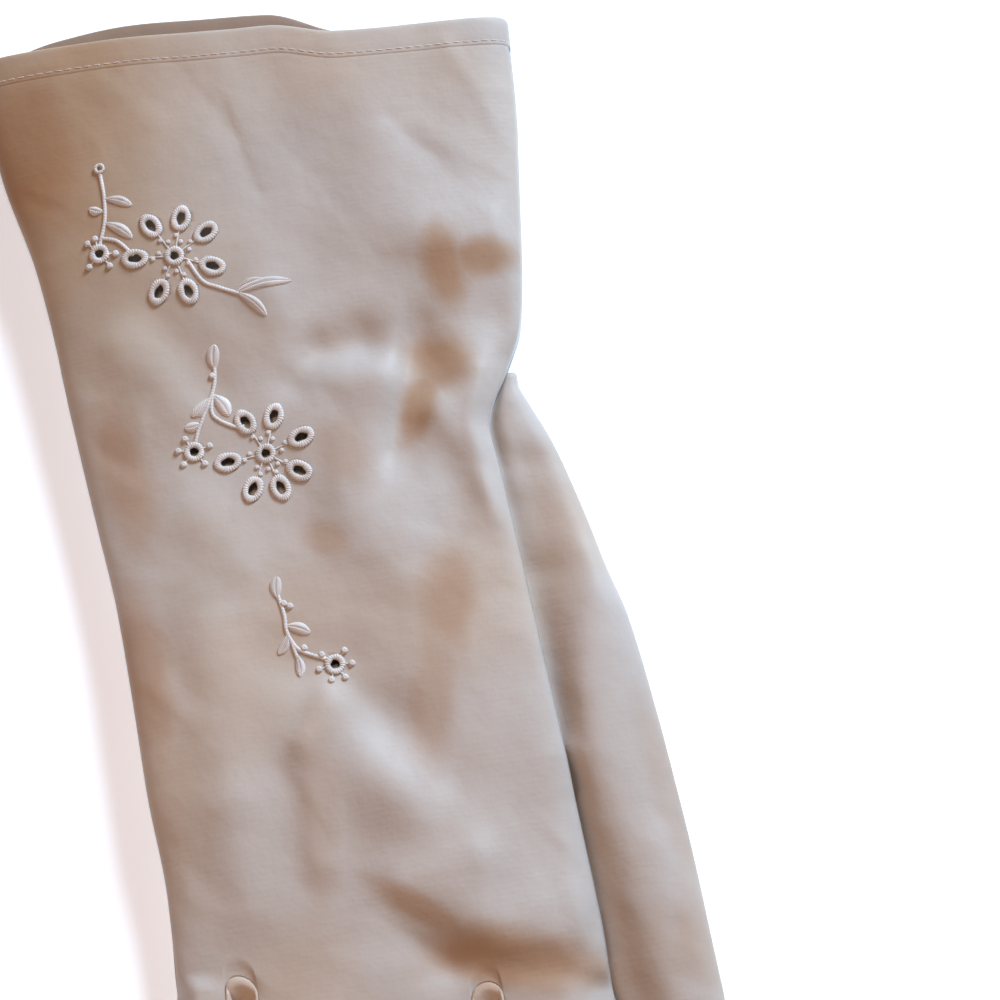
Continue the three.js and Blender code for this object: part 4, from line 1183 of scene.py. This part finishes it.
# Strength and depth in metres of each bump
WRINKLE_BUMP = (0.35, 0.0008)
RIB_BUMP = (0.05, 0.0001)
GRAIN_BUMP = (0.2, 0.00008)
FIBRE_BUMP = (0.35, 0.00006)

# Painted warm shade on the cloth toward the left end of the opening, and where it begins and is full
LEFT_SHADE_TINT = (0.86, 0.72, 0.56, 1)
LEFT_SHADE_X = (-0.002, -0.038)
LEFT_SHADE_Y = (0.02, 0.105)

# Patches of painted warm shade on the folds' shaded slopes: middle, half length, half width, turn in degrees
# and strength
SHADE_PATCHES = table("x y long wide turn share", [
    (31.5, 139.8, 10.2, 5.2, -88, 0.9),
    (39.7, 140.6, 9.2, 4.7, -1, 0.85),
    (28.0, 120.3, 8.6, 8.0, -70, 0.85),
    (22.4, 112.4, 11.4, 4.4, -116, 0.85),
    (22.3, 73.0, 12.9, 5.8, -94, 0.5),
    (15.6, 52.4, 15.2, 5.7, -104, 0.45),
    (23.4, 2.7, 21.2, 7.2, -15, 0.9),
    (6.8, 15.9, 12.2, 3.1, -39, 0.6),
    (-8.3, 38.0, 23.2, 4.5, -96, 0.35),
    (6.3, 104.0, 9.3, 7.4, -69, 0.4),
    (0.1, 88.0, 6.3, 4.3, -30, 0.5),
    (58.3, 27.8, 27.8, 4.6, -82, 0.35),
    (59.3, 1.2, 16.3, 5.6, -86, 0.35),
    (-48.6, 178.1, 21.8, 14.1, -69, 0.7),
    (-37.1, 107.9, 18.2, 6.6, -83, 0.6),
    (-38.1, 69.9, 19.3, 6.1, -87, 0.6),
])
SHADE_PATCH_TINT = (0.79, 0.54, 0.34, 1)
PATCH_HEIGHT = 60
PATCH_FADE = (1.2, 0.4)
PATCH_WAVER = (0.55, 1.5)

# Cloth next to the table: painted light, pale, where the inside shows through the eyelets, and painted
# shade, brown, inside the opening
INSIDE_PAINTED_LIGHT = (0.75, 0.65, 0.56, 1)
OPENING_PAINTED_SHADE = (0.23, 0.155, 0.11, 1)
OPENING_Y = (0.119, 0.128)
INSIDE_Z = (0.0018, 0.0008)

# Floor and wall of the studio, in metres
FLOOR_REACH = 4
FLOOR_LEVEL = -0.0002
WALL_HEIGHT = 1.2
FLOOR_SHADE = (0.9, 0.9, 0.9)
FLOOR_PALE = (0.92, 0.92, 0.92)
FLOOR_DULLNESS = 0.8
FLOOR_MOTTLE = (5, 2)
FLOOR_GRAIN = (400, 2)
FLOOR_BUMP = (0.05, 0.0002)
FLOOR_GLOW = (0.5, 0.76, 1, 1)
FLOOR_GLOW_STRENGTH = 0.36

# Lamps: place, target and size in millimetres, power in watts
LAMPS = table("name place target size watts colour", [
    ("key", (1040, 1240, 840), (0, 40, 0), 520, 66, (0.62, 0.81, 1.0)),
    ("fill", (-600, -300, 600), (0, 0, 0), 600, 1.6, (1.0, 0.55, 0.3)),
    ("front", (14, -30, 480), (25, 60, 0), 50, 0.85, (1.0, 0.78, 0.66)),
])
WORLD_COLOUR = (1.0, 0.46, 0.18, 1)
WORLD_STRENGTH = 0.17


# Off-white stretch nylon: soft mottling, fine cross ribs and a slight satin sheen
def cloth_finish(name, light, warm):
    finish = Finish(name, CLOTH_DULLNESS, SHEEN)
    mottle = finish.noise(*MOTTLE)
    tone = finish.ramp(finish.noise(*BROAD), BROAD_STOPS, (warm, light, light))
    shade = finish.ramp(mottle, MOTTLE_STOPS, (MOTTLE_TINT, (1, 1, 1)))
    colour = finish.blend(tone, shade, 1.0, "MULTIPLY")
    # Painted warm shade: the cloth turns darker and more orange toward the left end of the opening
    painted_left_shade = finish.combined(finish.along("X", *LEFT_SHADE_X), finish.along("Y", *LEFT_SHADE_Y), "MULTIPLY")
    colour = finish.tinted(colour, LEFT_SHADE_TINT, painted_left_shade)
    # Painted warm shade in soft patches where the folds' slopes lie in shade
    edge = finish.between(finish.noise(*PATCH_EDGE), *PATCH_WAVER)
    painted_shade = finish.patch(SHADE_PATCHES[0], edge)
    for place in SHADE_PATCHES[1:]:
        painted_shade = finish.combined(painted_shade, finish.patch(place, edge), "MAXIMUM")
    colour = finish.tinted(colour, SHADE_PATCH_TINT, painted_shade)
    # Painted light inside the glove under the eyelets, and painted shade on the inner layer at the opening
    lower = finish.blend(INSIDE_PAINTED_LIGHT, OPENING_PAINTED_SHADE, finish.along("Y", *OPENING_Y))
    colour = finish.blend(colour, lower, finish.along("Z", *INSIDE_Z))
    grain = finish.noise(*GRAIN, finish.stretched(GRAIN_STRETCH))
    normal = finish.bump(finish.noise(*WRINKLE), *WRINKLE_BUMP)
    normal = finish.bump(finish.bands(*RIBS), *RIB_BUMP, normal)
    normal = finish.bump(grain, *GRAIN_BUMP, normal)
    return finish.end(colour, normal, finish.between(mottle, *CLOTH_ROUGHNESS))


# Glossy embroidery thread with fine filaments
def thread_finish():
    finish = Finish("thread", THREAD_DULLNESS, SHEEN)
    tone = finish.ramp(finish.noise(*THREAD_MOTTLE), THREAD_STOPS, (THREAD_DARK, THREAD_LIGHT))
    fibre = finish.noise(*FIBRE)
    return finish.end(tone, finish.bump(fibre, *FIBRE_BUMP), finish.between(fibre, *THREAD_ROUGHNESS))


cloth = cloth_finish("cloth", CLOTH_LIGHT, CLOTH_WARM)
# A lighter copy of the cloth for the fourchettes, as painted light in the shaded crotches
cloth_side = cloth_finish("cloth_side", FOURCHETTE_PAINTED_LIGHT, FOURCHETTE_PAINTED_WARM)
thread = thread_finish()

back_grid, back_cells = cut_eyelets(*panel_grid(1))
fingers = [finger["name"] for finger in FINGERS]
back_nodes = ["back_panel"] + ["back_" + name for name in fingers]
palm_nodes = ["palm_panel"] + ["palm_" + name for name in fingers]
back = grid_mesh("back_cloth", back_grid, back_cells, cloth, back_nodes)
palm = grid_mesh("palm_cloth", *panel_grid(-1), cloth, palm_nodes, flip=True)
thumb = grid_mesh("thumb_cloth", *thumb_grid(), cloth, "thumb", wrap=True)
for index, pair in enumerate(("ring_little", "middle_ring", "index_middle")):
    node = "fourchette_" + pair
    grid_mesh(node + "_cloth", *fourchette_grid(index), cloth_side, node)
hem = grid_mesh("hem_cloth", *hem_grid(), cloth, "cuff_hem", wrap=True, thickness=0)
sprays = [
    add_mesh("embroidery_" + name, *gathered(spray_parts(name)), thread, "spray_" + name)
    for name in ("upper", "middle", "lower")
]


# Places of the stitches' two ends along the loop round the hem
def hem_stitch_ends():
    row = LENGTH - HEM_HEIGHT + HEM_STITCH_ROW
    across = crowded(HEM_LOOP_POINTS)
    upper = body_points(row, across, 1, -HEM_STITCH_LIFT, 0)
    lower = body_points(row, across[::-1], -1, 0, 0)
    loop = np.concatenate([upper, lower])
    travelled = np.concatenate([[0], np.cumsum(np.linalg.norm(np.diff(loop, axis=0), axis=1))])
    starts = np.arange(HEM_STITCH_START, travelled[-1] - HEM_STITCH_END, HEM_STITCH_STEP)
    return [
        [np.array([np.interp(at, travelled, loop[:, axis]) for axis in range(3)]) for at in ends]
        for ends in zip(starts, starts + HEM_STITCH)
    ]


stitches = stitch_row(hem_stitch_ends(), HEM_STITCH_RADIUS, HEM_STITCH_RISE)
hem_stitches = add_mesh("hem_stitches", *gathered(stitches), thread)

# Floor, with a low pale wall all round it
corners = [(FLOOR_REACH * x, FLOOR_REACH * y) for x, y in ((-1, -1), (1, -1), (1, 1), (-1, 1))]
floor_points = [(x, y, z) for z in (FLOOR_LEVEL, WALL_HEIGHT) for x, y in corners]
walls = [(k, (k + 1) % 4, (k + 1) % 4 + 4, k + 4) for k in range(4)]
floor_mesh = bpy.data.meshes.new("floor")
floor_mesh.from_pydata(floor_points, [], [(0, 1, 2, 3), *walls])
floor = bpy.data.objects.new("floor", floor_mesh)
bpy.context.collection.objects.link(floor)
floor_finish = Finish("floor", FLOOR_DULLNESS, 0)
floor_noise = floor_finish.noise(*FLOOR_MOTTLE)
floor_tone = floor_finish.ramp(floor_noise, MOTTLE_STOPS, (FLOOR_SHADE, FLOOR_PALE))
floor_bump = floor_finish.bump(floor_finish.noise(*FLOOR_GRAIN), *FLOOR_BUMP)
floor_finish.shader.inputs["Emission Color"].default_value = FLOOR_GLOW
floor_finish.shader.inputs["Emission Strength"].default_value = FLOOR_GLOW_STRENGTH
floor_mesh.materials.append(floor_finish.end(floor_tone, floor_bump))


# Square lamps, each turned toward its target
for row in LAMPS:
    light = bpy.data.lights.new(row["name"], "AREA")
    light.shape = "SQUARE"
    light.size = row["size"] * MM
    light.energy = row["watts"]
    light.color = row["colour"]
    place, target = Vector(row["place"]), Vector(row["target"])
    holder = bpy.data.objects.new(row["name"], light)
    holder.location = place * MM
    holder.rotation_euler = (target - place).to_track_quat("-Z", "Y").to_euler()
    bpy.context.collection.objects.link(holder)

world = bpy.data.worlds.new("studio")
world.use_nodes = True
world.node_tree.nodes["Background"].inputs["Color"].default_value = WORLD_COLOUR
world.node_tree.nodes["Background"].inputs["Strength"].default_value = WORLD_STRENGTH
bpy.context.scene.world = world
bpy.context.scene.view_settings.view_transform = "Standard"

# Camera at the photograph's place
middle = Vector((*ORIGIN, 0))
eye = (Vector(CAMERA_EYE) - middle) * MM
target = (Vector(CAMERA_TARGET) - middle) * MM
camera = bpy.data.objects.new("camera", bpy.data.cameras.new("camera"))
camera.data.sensor_width = CAMERA_SENSOR
camera.data.lens = CAMERA_LENS
camera.data.clip_start = CAMERA_NEAREST * MM
camera.location = eye
camera.rotation_euler = (target - eye).to_track_quat("-Z", "Y").to_euler()
bpy.context.collection.objects.link(camera)
bpy.context.scene.camera = camera
